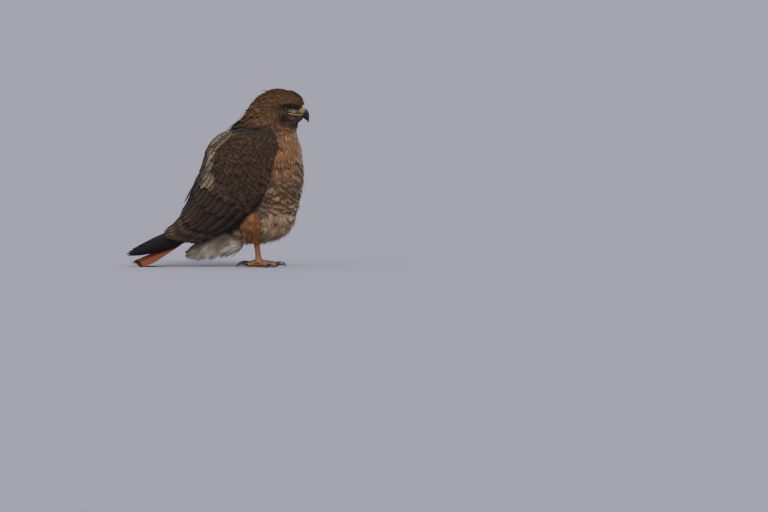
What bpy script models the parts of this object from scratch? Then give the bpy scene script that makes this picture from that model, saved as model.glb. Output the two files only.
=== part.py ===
"""A red tailed hawk standing at rest: the solid model, one closed body for each part.

The bird looks along +X, its right side is at -Y and +Z is up. It stands on the plane z = 0,
with the origin at the middle of its footprint. The tables and functions below work in
millimetres in the bird's own side view, and mesh_object turns them into metres.
"""

import math
import random

import bmesh
import bpy
import numpy as np
from mathutils import Matrix, Vector
from mathutils.bvhtree import BVHTree

MM = 0.001
GAP = 0.35
SEED = 27
FLAT = math.radians(0.6)
SIDES = {"right": -1, "left": 1}

# The folded wings and the tail lie along one line that starts at the shoulder and levels out
# towards the tail's tip, where the tail rests on the ground.
FOLD_START = (-8.0, 186.0)
FOLD_LENGTH = 299.0
FOLD_SLOPE = math.radians(51.5)
FOLD_TURN = math.radians(30.5)


def fold(s, off, y=0.0):
    """The point at distance s along the fold line and off above it, towards the back."""
    turn = FOLD_TURN / FOLD_LENGTH
    inside = min(max(s, 0.0), FOLD_LENGTH)
    angle = FOLD_SLOPE - turn * inside
    x = FOLD_START[0] + (math.sin(angle) - math.sin(FOLD_SLOPE)) / turn
    z = FOLD_START[1] - (math.cos(angle) - math.cos(FOLD_SLOPE)) / turn
    past = s - inside
    x -= math.cos(angle) * past + math.sin(angle) * off
    z += math.cos(angle) * off - math.sin(angle) * past
    return Vector((x, y, z))


def side_point(s, off):
    """The side view place of a point given along the fold line."""
    place = fold(s, off)
    return (place.x, place.z)


# Body sections from the forehead to the tail's root: back point, front point, half width and
# fullness. Each section is a closed ring in the plane of its two points and the Y axis.
FOREHEAD = (66.5, 330.0)
BODY = [
    (FOREHEAD, FOREHEAD, 0.0, 2.0),
    ((53.0, 334.0), (78.0, 319.0), 17.0, 2.0),
    ((39.0, 336.5), (80.5, 306.5), 26.5, 2.1),
    ((24.0, 335.5), (73.0, 294.0), 31.5, 2.1),
    ((9.5, 330.0), (67.5, 281.0), 34.0, 2.1),
    ((-5.7, 320.7), (64.5, 269.0), 35.0, 2.1),
    ((-18.0, 306.0), (63.0, 260.0), 36.5, 2.1),
    ((-28.5, 290.0), (66.0, 252.0), 39.5, 2.1),
    ((-43.7, 273.0), (70.3, 241.0), 46.0, 2.1),
    ((-62.7, 258.0), (74.5, 225.0), 55.0, 2.1),
    ((-81.7, 239.0), (77.0, 203.0), 62.0, 2.15),
    ((-96.0, 213.0), (78.5, 180.0), 66.0, 2.2),
    ((-103.5, 184.0), (78.0, 155.0), 66.0, 2.2),
    ((-104.5, 154.0), (72.5, 127.0), 62.0, 2.2),
    ((-102.5, 130.0), (66.5, 103.0), 57.0, 2.2),
    (side_point(110.0, 24.0), (56.0, 79.0), 51.0, 2.2),
    (side_point(114.0, 17.0), (38.0, 60.0), 45.0, 2.2),
    (side_point(117.0, 13.0), (6.0, 51.0), 37.0, 2.2),
    (side_point(120.0, 10.0), (-24.0, 49.0), 30.0, 2.1),
    (side_point(122.5, 8.0), (-50.0, 52.0), 24.0, 2.0),
    (side_point(125.0, 6.0), side_point(125.0, -38.0), 19.0, 2.0),
]
HEAD_END = 5.4
NECK_END = 8.9
HEAD_AROUND = 30
TRUNK_AROUND = 22
HEAD_ROWS = 14
NECK_ROWS = 5
TORSO_ROWS = 14

EYE = Vector((47.7, 22.5, 302.0))
EYE_RADIUS = 7.0
LID_STEPS = 12
LID_AROUND = 5
# Swellings and hollows of the face: place in the side view, spread along X and Z, height.
FACE = [
    ((52.0, 311.5), (19.0, 4.5), 3.2),
    ((48.5, 301.0), (9.0, 6.5), -4.5),
    ((63.0, 296.0), (8.0, 6.0), -4.0),
    ((40.0, 282.0), (13.0, 9.0), 1.5),
]

# Bill sections: upper point, lower point, half width, fullness.
BILL = [
    ((62.0, 305.5), (58.0, 289.5), 12.5, 2.2),
    ((73.0, 304.8), (68.0, 288.8), 10.8, 2.2),
    ((80.0, 303.3), (74.0, 288.2), 9.4, 2.2),
    ((85.2, 300.3), (77.6, 284.6), 8.2, 2.1),
    ((89.2, 295.6), (80.4, 281.6), 6.9, 2.0),
    ((91.2, 289.8), (83.4, 279.4), 5.4, 2.0),
    ((91.4, 283.4), (86.2, 277.4), 3.8, 2.0),
    ((90.4, 277.0), (87.8, 274.6), 2.2, 2.0),
    ((88.6, 271.5), (88.6, 271.5), 0.0, 2.0),
]
CERE_END = 2.75
LOWER_BILL = [
    ((57.0, 287.8), (58.0, 268.0), 11.8, 2.2),
    ((64.0, 287.4), (64.5, 269.6), 10.4, 2.2),
    ((70.0, 286.4), (70.0, 272.8), 8.2, 2.1),
    ((75.0, 284.8), (74.6, 277.0), 5.2, 2.0),
    ((78.0, 282.0), (78.0, 282.0), 0.0, 2.0),
]
BILL_AROUND = 14
BILL_ROWS = 8
NOSTRIL = Vector((79.0, 8.6, 297.2))
NOSTRIL_SIZE = (2.4, 2.0, 1.5)
MOUTH_CORNER = (49.5, 291.0)
MOUTH_FRONT = (70.0, 288.5)
MOUTH_GROOVE = 0.9
MOUTH_DEPTH = 1.5

# The folded wing is a sleeve round the body: distance along the fold line, half width,
# half height, height of its middle above the fold line.
SLEEVE = [
    (-75.0, 60.0, 56.0, 26.0),
    (-45.0, 69.0, 60.0, 24.0),
    (-20.0, 75.0, 72.0, 20.0),
    (8.0, 78.0, 84.0, 16.0),
    (28.0, 79.0, 86.0, 13.0),
    (52.0, 78.0, 81.0, 11.0),
    (79.0, 74.0, 71.0, 8.0),
    (103.0, 67.0, 66.0, 5.0),
    (131.0, 57.0, 57.0, 1.0),
    (151.0, 49.5, 48.5, -1.0),
    (174.0, 43.0, 40.0, -2.0),
    (197.0, 37.5, 32.0, -1.5),
    (224.0, 31.5, 28.5, 0.5),
    (254.0, 26.5, 23.5, 5.0),
    (283.0, 21.5, 18.0, 8.5),
    (303.0, 18.0, 13.0, 10.5),
]
LOW_SIDE = [(-75.0, 1.25), (110.0, 1.25), (200.0, 1.0), (303.0, 1.0)]
# The lower edge of the folded wing, as an angle round the sleeve at distances along it.
LOW_EDGE = [
    (-75.0, -27.0),
    (-33.0, -25.0),
    (20.0, -27.0),
    (57.0, -31.0),
    (92.0, -33.0),
    (170.0, -33.0),
    (200.0, -28.0),
    (220.0, -27.0),
    (242.0, -28.0),
    (270.0, -30.0),
    (303.0, -32.0),
]
# The reach of the greater coverts by angle, and the height of the core by distance from there.
COVERT_REACH = [(-40, 128), (-22, 143), (-8, 158), (6, 167), (30, 172), (58, 172), (90, 164)]
CORE_STEPS = [(-170, 0.8), (-125, -0.2), (-80, -2.6), (-40, -6.0), (-10, -9.0), (5, -11.0)]
CORE_ROWS = 8
CORE_COLUMNS = 7
CORE_PAST = 5.0
CORE_DEPTH = (-16.0, -3.0)
CORE_THICK = 5.0
# Width and drop of the rounded front and lower edges of the wing's core.
FRONT_EDGE = (34.0, 14.0)
LOW_EDGE_ROUND = (0.22, 5.0)
WING_FRONT = (-74.0, -46.0)
WING_LOW = math.radians(-33.0)
WING_HIGH = math.radians(86.0)
WING_TOP = math.radians(88.0)
MIDLINE = 1.3

# A feather's outline: share of its length, share of its width.
VANE_PROFILE = [(0.0, 0.5), (0.45, 0.92), (0.78, 1.0), (0.94, 0.74), (1.0, 0.34)]
COVERT_PROFILE = [(0.0, 0.6), (0.6, 1.0), (0.9, 0.78), (1.0, 0.32)]
VANE_THICK = 0.6
ROLL = 0.09

# Primaries from the lowest up: where the tips are, and the level of the stack.
PRIMARY_TIPS = [302.0, 303.0, 299.0, 291.0, 278.0, 260.0]
PRIMARY_COUNT = 6
PRIMARY_WIDTH = 15.0
PRIMARY_SHIFT = 4.6
PRIMARY_STEP = 0.75
PRIMARY_LEVEL = [(110.0, -11.0), (150.0, -7.5), (186.0, -4.6), (219.0, -3.6), (303.0, 0.0)]

# Tiers of the wing: count, lowest and highest angle, reach past the greater coverts' tips by
# angle, length, levels at root and tip, width.
TIERS = {
    "secondaries": (7, -30, 77, [(-33, 52), (6, 46), (35, 47), (80, 42)], 122, (-9, -1), 25),
    "greater coverts": (6, -27, 78, [(-33, 0), (80, 0)], 84, (-5.0, 0.0), 32),
    "median coverts": (5, -21, 50, [(-33, -52), (80, -52)], 62, (-2.8, 0.6), 34),
}
# Scapulars: where their tips are, the angles they lie at, levels at root and tip.
SCAPULAR_TIPS = [58.0, 104.0]
SCAPULAR_ANGLES = [54.0, 74.0]
SCAPULAR_LEVELS = (-1.6, 2.4)
SCAPULAR_LENGTH = 58.0
SCAPULAR_WIDTH = 32.0
# One feather standing off the back: root, tip, levels at both and width.
LOOSE_TERTIAL = ((96.0, 70.0), (152.0, 76.0), (-1.0, 4.5), 13.0)

# The folded tail: half width along the fold line, arch, height, ends, steps between feathers.
TAIL_WIDTH = [(120, 13), (160, 17), (200, 20), (225, 23), (250, 27), (300, 32)]
TAIL_ARCH = 0.0129
TAIL_TOP = -2.0
TAIL_ROOT = 128.0
TAIL_TIP = 301.0
TAIL_STEP = 1.05
TAIL_FEATHER = 23.0
# The tail's root: distance along the fold line, height of its top, thickness.
TAIL_CORE = [(125.35, 1.2, 17.0), (140.0, 1.2, 16.0), (160.0, -0.5, 12.0), (184.0, -4.0, 6.0)]

TARSUS_Y = 27.0
ANKLE_Z = 15.0
HEM_Z = 46.5

# Thigh rings down to the hem: height, place along X, place to the side, half sizes.
THIGH = [
    (112.0, -20.0, 40.0, 18.0, 13.0),
    (100.0, -19.0, 43.0, 19.5, 15.5),
    (86.0, -19.0, 41.5, 18.5, 15.5),
    (72.0, -19.5, 37.0, 17.0, 14.0),
    (60.0, -17.5, 32.0, 14.0, 12.0),
    (52.0, -14.0, 29.0, 10.5, 10.0),
    (HEM_Z, -10.0, 27.3, 8.0, 8.0),
]

# Shank rings: height, place along X, half sizes.
TARSUS = [
    (HEM_Z - GAP, -9.0, 5.6, 5.0),
    (36.0, -7.6, 5.0, 4.3),
    (24.0, -6.4, 5.0, 4.4),
    (ANKLE_Z + GAP, -5.6, 6.0, 5.6),
]

# The foot: its place, and for each toe the outward angle in degrees, length, radii at root and
# tip, and the length of its claw.
FOOT_X = -5.5
TOES = {
    "middle": (4.0, 35.0, 6.0, 4.3, 21.0),
    "inner": (-34.0, 26.0, 6.0, 4.6, 23.0),
    "outer": (50.0, 29.0, 5.6, 4.0, 17.0),
    "hind": (184.0, 20.0, 6.0, 4.8, 25.0),
}
TOE_RADII = [1.0, 0.9, 1.02, 0.88, 0.97, 1.0]
CLAW_TURN = math.radians(85.0)
CLAW_TIP_Z = 0.7

# A lock's outline: share of its length, share of its width.
LOCK_PROFILE = [(0.0, 0.8), (0.4, 1.0), (0.75, 0.66), (1.0, 0.0)]
LOCK_THICK = 2.4
# Rows of locks under the belly: place in the body's table, reach round it, count.
BELLY_ROWS = [(14.0, 0.6, 3), (14.7, 0.85, 4), (15.3, 0.8, 4), (15.9, 0.6, 4), (16.5, 0.4, 3)]
# Rows of locks under the tail: place along X, reach to each side, count.
UNDERTAIL_ROWS = [(-46.0, 9.0, 3), (-64.0, 11.0, 3), (-86.0, 11.0, 3), (-107.0, 8.0, 3)]
# Locks of the thigh: height and angle round it in degrees, where 180 is its back edge.
THIGH_LOCKS = [(92.0, 196.0), (90.0, 150.0), (78.0, 176.0), (76.0, 226.0), (70.0, 140.0)]
THIGH_LOCKS += [(64.0, 200.0), (62.0, 160.0), (60.0, 250.0), (60.0, 110.0), (58.0, 20.0)]
# The undertail: upper point, lower point, half width, fullness.
UNDERTAIL = [
    ((-29.0, 52.0), (-29.0, 52.0), 0.0, 2.0),
    ((-42.0, 62.0), (-38.0, 34.0), 16.0, 2.0),
    ((-62.0, 70.0), (-59.0, 24.0), 21.0, 2.0),
    (side_point(133.0, -28.0), (-82.0, 20.0), 21.0, 2.0),
    (side_point(155.0, -28.0), (-103.0, 13.0), 18.0, 2.0),
    (side_point(174.0, -28.0), (-120.0, 11.0), 13.5, 2.0),
    (side_point(190.0, -28.0), (-134.0, 13.0), 8.0, 2.0),
    (side_point(203.0, -31.0), side_point(203.0, -31.0), 0.0, 2.0),
]

FINISHES = {
    "crown": ((0.105, 0.058, 0.034), 0.85),
    "neck": ((0.190, 0.100, 0.055), 0.85),
    "breast": ((0.420, 0.290, 0.180), 0.88),
    "back": ((0.075, 0.045, 0.030), 0.82),
    "rufous": ((0.330, 0.110, 0.045), 0.80),
    "trousers": ((0.420, 0.210, 0.090), 0.88),
    "vent": ((0.750, 0.700, 0.610), 0.90),
    "skin": ((0.720, 0.420, 0.080), 0.55),
    "cere": ((0.740, 0.560, 0.120), 0.45),
    "horn": ((0.045, 0.048, 0.055), 0.30),
    "claw": ((0.020, 0.019, 0.020), 0.28),
    "eye": ((0.180, 0.110, 0.040), 0.08),
}


def read_curve(table, x):
    """Smooth values between the rows of a table, whose first column is the distance."""
    rows = np.array(table, dtype=float)
    places = rows[:, 0]
    values = rows[:, 1:]
    x = min(max(x, places[0]), places[-1])
    i = min(int(np.searchsorted(places, x, side="right")) - 1, len(places) - 2)
    slopes = np.gradient(values, places, axis=0)
    span = places[i + 1] - places[i]
    t = (x - places[i]) / span
    start = (2 * t**3 - 3 * t**2 + 1) * values[i] + (t**3 - 2 * t**2 + t) * span * slopes[i]
    end = (3 * t**2 - 2 * t**3) * values[i + 1] + (t**3 - t**2) * span * slopes[i + 1]
    return start + end


def smooth_step(low, high, x):
    """A soft ramp from 0 at low to 1 at high, where high may be the lesser of the two."""
    t = min(max((x - low) / (high - low), 0.0), 1.0)
    return t * t * (3.0 - 2.0 * t)


def blend(start, end, t):
    """The value at t between start and end."""
    return start + (end - start) * t


def make_finish(name):
    """One plain material with the part's colour and roughness."""
    colour, roughness = FINISHES[name]
    material = bpy.data.materials.new(name)
    material.use_nodes = True
    shader = material.node_tree.nodes["Principled BSDF"]
    shader.inputs["Base Color"].default_value = (*colour, 1.0)
    shader.inputs["Roughness"].default_value = roughness
    shader.inputs["Metallic"].default_value = 0.0
    material.diffuse_color = (*colour, 1.0)
    return material


def mesh_object(name, points, faces, finish=None):
    """A closed mesh from points in millimetres, with its faces turned outwards."""
    mesh = bpy.data.meshes.new(name)
    mesh.from_pydata([tuple(Vector(p) * MM) for p in points], [], faces)
    shape = bmesh.new()
    shape.from_mesh(mesh)
    bmesh.ops.recalc_face_normals(shape, faces=shape.faces)
    bmesh.ops.triangulate(shape, faces=shape.faces, quad_method="SHORT_EDGE")
    shape.to_mesh(mesh)
    shape.free()
    body = bpy.data.objects.new(name, mesh)
    bpy.context.scene.collection.objects.link(body)
    if finish:
        mesh.materials.append(bpy.data.materials.get(finish) or make_finish(finish))
    return body


def join_rings(rings):
    """Points and faces of a tube through rings of points. A ring of one point is a tip."""
    points = []
    faces = []
    starts = []
    for ring in rings:
        starts.append(len(points))
        points.extend(ring)
    for here, there, a, b in zip(rings, rings[1:], starts, starts[1:]):
        count = max(len(here), len(there))
        for k in range(count):
            after = (k + 1) % count
            if len(here) == 1:
                faces.append((a, b + after, b + k))
            elif len(there) == 1:
                faces.append((a + k, a + after, b))
            else:
                faces.append((a + k, a + after, b + after, b + k))
    if len(rings[0]) > 1:
        faces.append(tuple(range(len(rings[0]) - 1, -1, -1)))
    if len(rings[-1]) > 1:
        faces.append(tuple(range(starts[-1], starts[-1] + len(rings[-1]))))
    return points, faces


def tube(name, rings, finish=None):
    """A closed body through a row of rings."""
    points, faces = join_rings(rings)
    return mesh_object(name, points, faces, finish)


def oval(centre, across, up, count, turn=0.0):
    """A ring of points round a centre, with two half axes given as vectors."""
    ring = []
    for k in range(count):
        angle = turn + 2.0 * math.pi * k / count
        ring.append(centre + across * math.cos(angle) + up * math.sin(angle))
    return ring


def ball(name, centre, radii, segments=14, rows=8, finish=None):
    """A closed oval ball."""
    rings = [[centre + Vector((0.0, 0.0, -radii[2]))]]
    for row in range(1, rows):
        tilt = math.pi * row / rows
        middle = centre - Vector((0.0, 0.0, radii[2] * math.cos(tilt)))
        across = Vector((radii[0] * math.sin(tilt), 0.0, 0.0))
        depth = Vector((0.0, radii[1] * math.sin(tilt), 0.0))
        rings.append(oval(middle, across, depth, segments))
    rings.append([centre + Vector((0.0, 0.0, radii[2]))])
    return tube(name, rings, finish)


def section_at(table, t):
    """Back point, front point, half width and fullness at t rows along a table."""
    rows = [(i, *back, *front, half, full) for i, (back, front, half, full) in enumerate(table)]
    bx, bz, fx, fz, half, full = read_curve(rows, t)
    if t < 1.0 and table[0][2] == 0.0:
        angle = t * math.pi / 2.0
        tip = np.array(table[0][0])
        back, front = np.array(table[1][0]), np.array(table[1][1])
        middle = blend(tip, (back + front) / 2.0, 1.0 - math.cos(angle))
        reach = (back - front) / 2.0 * math.sin(angle)
        bx, bz = middle + reach
        fx, fz = middle - reach
        half = table[1][2] * math.sin(angle)
        full = 2.0
    return Vector((bx, 0.0, bz)), Vector((fx, 0.0, fz)), half, full


def section_ring(table, t, count, relief=None):
    """The ring of a section table at t, or one point where the section shrinks to a tip."""
    back, front, half, full = section_at(table, t)
    middle = (back + front) / 2.0
    if half < 0.01:
        return [middle]
    ring = []
    for k in range(count):
        angle = 2.0 * math.pi * k / count
        along = math.copysign(abs(math.cos(angle)) ** (2.0 / full), math.cos(angle))
        out = math.copysign(abs(math.sin(angle)) ** (2.0 / full), math.sin(angle))
        point = middle + (back - front) / 2.0 * along
        point.y = half * out
        if relief:
            point.y += relief(point, t) * out
        ring.append(point)
    return ring


def gap_step(table, t):
    """How far t moves for the gap between two parts of one section table."""
    probe = 0.01
    back, front = section_at(table, t)[:2]
    back_next, front_next = section_at(table, t + probe)[:2]
    nearest = min((back_next - back).length, (front_next - front).length)
    return probe * GAP / nearest


def face_relief(point, t):
    """How far the side of the head stands out or lies in at a point."""
    if t > HEAD_END + 1.0:
        return 0.0
    total = 0.0
    for (x, z), (spread_x, spread_z), height in FACE:
        distance = ((point.x - x) / spread_x) ** 2 + ((point.z - z) / spread_z) ** 2
        total += height * math.exp(-distance)
    return total


def grown(body, amount=GAP):
    """A copy of a body with its surface moved out, for cutting a neighbour clear of it."""
    copy = bpy.data.objects.new("cutter", body.data.copy())
    bpy.context.scene.collection.objects.link(copy)
    shape = bmesh.new()
    shape.from_mesh(copy.data)
    shape.normal_update()
    shifts = [vertex.normal * amount * MM for vertex in shape.verts]
    for vertex, shift in zip(shape.verts, shifts):
        vertex.co += shift
    shape.to_mesh(copy.data)
    shape.free()
    return copy


def remove(body):
    """Take an object and its mesh out of the file."""
    mesh = body.data
    bpy.data.objects.remove(body)
    bpy.data.meshes.remove(mesh)


def combine(body, others, operation, solver="EXACT"):
    """Join others to a body or cut them from it, then take them away."""
    group = bpy.data.collections.new("group")
    bpy.context.scene.collection.children.link(group)
    for other in others:
        group.objects.link(other)
    change = body.modifiers.new("combine", "BOOLEAN")
    change.operation = operation
    change.operand_type = "COLLECTION"
    change.collection = group
    change.solver = solver
    graph = bpy.context.evaluated_depsgraph_get()
    mesh = bpy.data.meshes.new_from_object(body.evaluated_get(graph))
    body.modifiers.clear()
    old = body.data
    body.data = mesh
    bpy.data.meshes.remove(old)
    for other in others:
        remove(other)
    bpy.data.collections.remove(group)
    keep_largest(body)
    return body


def volume_of(faces):
    """The volume enclosed by a set of triangles."""
    total = 0.0
    for face in faces:
        a, b, c = (loop.vert.co for loop in face.loops)
        total += a.dot(b.cross(c)) / 6.0
    return total


def keep_largest(body):
    """Keep the closed surface with the most volume, as plain triangles."""
    shape = bmesh.new()
    shape.from_mesh(body.data)
    bmesh.ops.dissolve_limit(
        shape, angle_limit=FLAT, verts=shape.verts, edges=shape.edges, use_dissolve_boundaries=False
    )
    bmesh.ops.triangulate(shape, faces=shape.faces)
    shells = []
    waiting = set(shape.faces)
    while waiting:
        seed = waiting.pop()
        shell = [seed]
        stack = [seed]
        while stack:
            for edge in stack.pop().edges:
                for face in edge.link_faces:
                    if face in waiting:
                        waiting.remove(face)
                        shell.append(face)
                        stack.append(face)
        shells.append(shell)
    shells.sort(key=volume_of)
    for shell in shells[:-1]:
        bmesh.ops.delete(shape, geom=shell, context="FACES")
    loose = [vertex for vertex in shape.verts if not vertex.link_faces]
    bmesh.ops.delete(shape, geom=loose, context="VERTS")
    shape.to_mesh(body.data)
    shape.free()


def body_rings(start, end, rows, around):
    """Rings of the body between two places of its section table."""
    places = [blend(start, end, k / rows) for k in range(rows + 1)]
    return [section_ring(BODY, t, around, face_relief) for t in places]


def make_body():
    """Head, neck and torso, parted by thin cuts, and the trunk for cutting neighbours."""
    head = tube("head", body_rings(0.0, HEAD_END, HEAD_ROWS, HEAD_AROUND), "crown")
    start = HEAD_END + gap_step(BODY, HEAD_END)
    neck_rings = body_rings(start, NECK_END, NECK_ROWS, TRUNK_AROUND)
    start = NECK_END + gap_step(BODY, NECK_END)
    torso_rings = body_rings(start, len(BODY) - 1.0, TORSO_ROWS, TRUNK_AROUND)
    tube("neck", neck_rings, "neck")
    torso = tube("torso", torso_rings, "breast")
    trunk = tube("trunk", neck_rings[:-1] + torso_rings)
    return head, torso, trunk


def make_eyes(head):
    """Eyes in their sockets, with a rim of lids that belongs to the head."""
    pockets = []
    rims = []
    for side, sign in SIDES.items():
        centre = Vector((EYE.x, sign * EYE.y, EYE.z))
        ball("eye_" + side, centre, (EYE_RADIUS,) * 3, 12, 7, "eye")
        pockets.append(ball("pocket", centre, (EYE_RADIUS + GAP,) * 3, 12, 8))
        rims.append(make_lids(centre, sign))
    combine(head, rims, "UNION")
    combine(head, pockets, "DIFFERENCE")


def make_lids(centre, sign):
    """A ring of lids round an eye, lower in front and drawn down under the brow."""
    outward = Vector((0.28, sign, 0.06)).normalized()
    forward = Vector((1.0, 0.0, -0.12))
    forward = (forward - outward * forward.dot(outward)).normalized()
    upward = outward.cross(forward) * sign
    if upward.z < 0.0:
        upward.negate()
    rings = []
    for k in range(LID_STEPS):
        angle = 2.0 * math.pi * k / LID_STEPS
        radial = forward * math.cos(angle) * 1.12 + upward * math.sin(angle) * 0.86
        middle = centre + outward * 3.6 + radial * 6.2
        rings.append(oval(middle, radial.normalized() * 1.5, outward * 1.9, LID_AROUND))
    points = [point for ring in rings for point in ring]
    faces = []
    for k in range(LID_STEPS):
        here = k * LID_AROUND
        there = (k + 1) % LID_STEPS * LID_AROUND
        for j in range(LID_AROUND):
            after = (j + 1) % LID_AROUND
            faces.append((here + j, here + after, there + after, there + j))
    return mesh_object("lids", points, faces)


def make_mouth(head):
    """A thin groove from the bill back to the corner of the mouth."""
    surface = surface_of(head)
    for sign in SIDES.values():
        rings = []
        steps = 5
        for k in range(steps + 1):
            x = blend(MOUTH_CORNER[0], MOUTH_FRONT[0], k / steps)
            z = blend(MOUTH_CORNER[1], MOUTH_FRONT[1], k / steps)
            start = Vector((x, sign * 80.0, z)) * MM
            hit = surface.ray_cast(start, Vector((0.0, -sign, 0.0)))[0]
            inner = abs(hit.y) / MM - MOUTH_DEPTH
            half = MOUTH_GROOVE / 2.0 * min(1.0, 0.3 + 2.0 * k / steps)
            corners = [(inner, -half), (inner + 9.0, -half), (inner + 9.0, half), (inner, half)]
            rings.append([Vector((x, sign * out, z + lift)) for out, lift in corners])
        combine(head, [tube("groove", rings)], "DIFFERENCE")


def make_bill(head):
    """Cere with nostrils, hooked upper bill and lower bill."""
    rings = [section_ring(BILL, CERE_END * k / 5, BILL_AROUND) for k in range(6)]
    cere = tube("cere", rings, "cere")
    combine(cere, [grown(head)], "DIFFERENCE")
    holes = []
    for sign in SIDES.values():
        centre = Vector((NOSTRIL.x, sign * NOSTRIL.y, NOSTRIL.z))
        holes.append(ball("nostril", centre, NOSTRIL_SIZE, 8, 5))
    combine(cere, holes, "DIFFERENCE")
    start = CERE_END + gap_step(BILL, CERE_END)
    end = len(BILL) - 1.0
    rings = [
        section_ring(BILL, blend(start, end, k / BILL_ROWS), BILL_AROUND)
        for k in range(BILL_ROWS + 1)
    ]
    upper = tube("bill_upper", rings, "horn")
    end = len(LOWER_BILL) - 1.0
    rings = [
        section_ring(LOWER_BILL, end * k / BILL_ROWS, BILL_AROUND) for k in range(BILL_ROWS + 1)
    ]
    lower = tube("bill_lower", rings, "horn")
    combine(lower, [grown(head), grown(upper), grown(cere)], "DIFFERENCE")


def sleeve_place(s, angle, height, sign):
    """A point of the folded wing: along the fold line, round the body, above its surface."""
    width, tall, middle = read_curve(SLEEVE, s)
    low = read_curve(LOW_SIDE, s)[0] if angle < 0.0 else 1.0
    off = middle + (tall * low + height) * math.sin(angle)
    y = max((width + height) * math.cos(angle), MIDLINE)
    return fold(s, off, sign * y)


def covert_reach(angle):
    """How far along the fold line the greater coverts reach at an angle round the wing."""
    return read_curve(COVERT_REACH, math.degrees(angle))[0]


def wing_front(angle):
    """Where the folded wing begins along the fold line."""
    return blend(*WING_FRONT, smooth_step(-0.3, 1.3, angle))


def core_reach(angle):
    """Where the wing's core ends along the fold line, under the flight feathers."""
    return covert_reach(angle) + CORE_PAST


def core_height(s, angle):
    """How high the wing's core lies, which falls away under each tier of feathers."""
    height = read_curve(CORE_STEPS, s - covert_reach(angle))[0]
    front = round_edge(s - wing_front(angle), *FRONT_EDGE)
    low = round_edge(angle - WING_LOW, *LOW_EDGE_ROUND)
    return height - front - low


def round_edge(distance, width, drop):
    """How far a rounded edge has fallen at a distance in from its border."""
    t = min(max(distance / width, 0.0), 1.0)
    return drop * (1.0 - math.sqrt(1.0 - (1.0 - t) ** 2))


def vane(place, width, thick, profile=VANE_PROFILE):
    """A feather's blade. place(u, v, h) is the point u along it, v across and h above it."""
    points = []
    for along, share in profile:
        half = width / 2.0 * share
        for h in (thick / 2.0, -thick / 2.0):
            points += [place(along, v, h) for v in (-half, 0.0, half)]
    faces = []
    for row in range(len(profile) - 1):
        a = row * 6
        b = a + 6
        for j in (0, 1):
            faces += [(a + j, a + j + 1, b + j + 1), (a + j, b + j + 1, b + j)]
            faces += [(a + j + 3, b + j + 4, a + j + 4), (a + j + 3, b + j + 3, b + j + 4)]
        for j in (0, 2):
            faces += [(a + j, b + j, b + j + 3), (a + j, b + j + 3, a + j + 3)]
    last = (len(profile) - 1) * 6
    for a in (0, last):
        faces += [(a, a + 1, a + 4, a + 3), (a + 1, a + 2, a + 5, a + 4)]
    return mesh_object("vane", points, faces)


def lay_on_sleeve(s, angle, across, height, sign):
    """A point of the folded wing shifted across its surface by a distance."""
    width, tall, middle = read_curve(SLEEVE, s)
    radius = math.hypot((width + height) * math.sin(angle), (tall + height) * math.cos(angle))
    angle = min(angle + across / radius, WING_TOP)
    return sleeve_place(s, angle, height, sign)


def wing_vane(sign, root, tip, levels, width, roll, profile=COVERT_PROFILE):
    """One wing feather between two places (distance, angle), rising from level to level."""

    def place(u, v, h):
        s = blend(root[0], tip[0], u)
        angle = math.radians(blend(root[1], tip[1], u))
        height = blend(levels[0], levels[1], u) - v * roll + h
        return lay_on_sleeve(s, angle, v, height, sign)

    return vane(place, width, VANE_THICK, profile)


def primary_vane(sign, k, tip):
    """One primary. The lowest follows the wing's lower edge and the next lie over it."""
    start = 110.0 + 4.0 * k
    depth = PRIMARY_STEP * (PRIMARY_COUNT - 1 - k)

    def place(u, v, h):
        s = blend(start, tip, u)
        angle = math.radians(read_curve(LOW_EDGE, s)[0])
        across = PRIMARY_WIDTH / 2.0 + PRIMARY_SHIFT * k + v
        height = read_curve(PRIMARY_LEVEL, s)[0] - depth + h
        return lay_on_sleeve(s, angle, across, height, sign)

    return vane(place, PRIMARY_WIDTH, VANE_THICK)


def wing_feathers(side):
    """All the feathers of one wing, tier by tier."""
    sign = SIDES[side]
    draw = random.Random(SEED + sign)
    feathers = []
    for k in range(PRIMARY_COUNT):
        tip = PRIMARY_TIPS[k] + draw.uniform(-1.0, 1.0)
        feathers.append(primary_vane(sign, k, tip))
    for count, low, high, past, length, levels, width in TIERS.values():
        for k in range(count):
            angle = blend(low, high, k / (count - 1)) + draw.uniform(-1.0, 1.0)
            reach = covert_reach(math.radians(angle)) + read_curve(past, angle)[0]
            reach += draw.uniform(-2.0, 2.0)
            root = (reach - length, angle)
            feathers.append(wing_vane(sign, root, (reach, angle), levels, width, ROLL))
    for row, reach in enumerate(SCAPULAR_TIPS):
        for angle in SCAPULAR_ANGLES:
            tip = (reach + draw.uniform(-4.0, 4.0), angle - 3.0 * row)
            root = (tip[0] - SCAPULAR_LENGTH, tip[1])
            feathers.append(wing_vane(sign, root, tip, SCAPULAR_LEVELS, SCAPULAR_WIDTH, ROLL))
    root, tip, levels, width = LOOSE_TERTIAL
    feathers.append(wing_vane(sign, root, tip, levels, width, 0.0))
    return feathers


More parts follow.
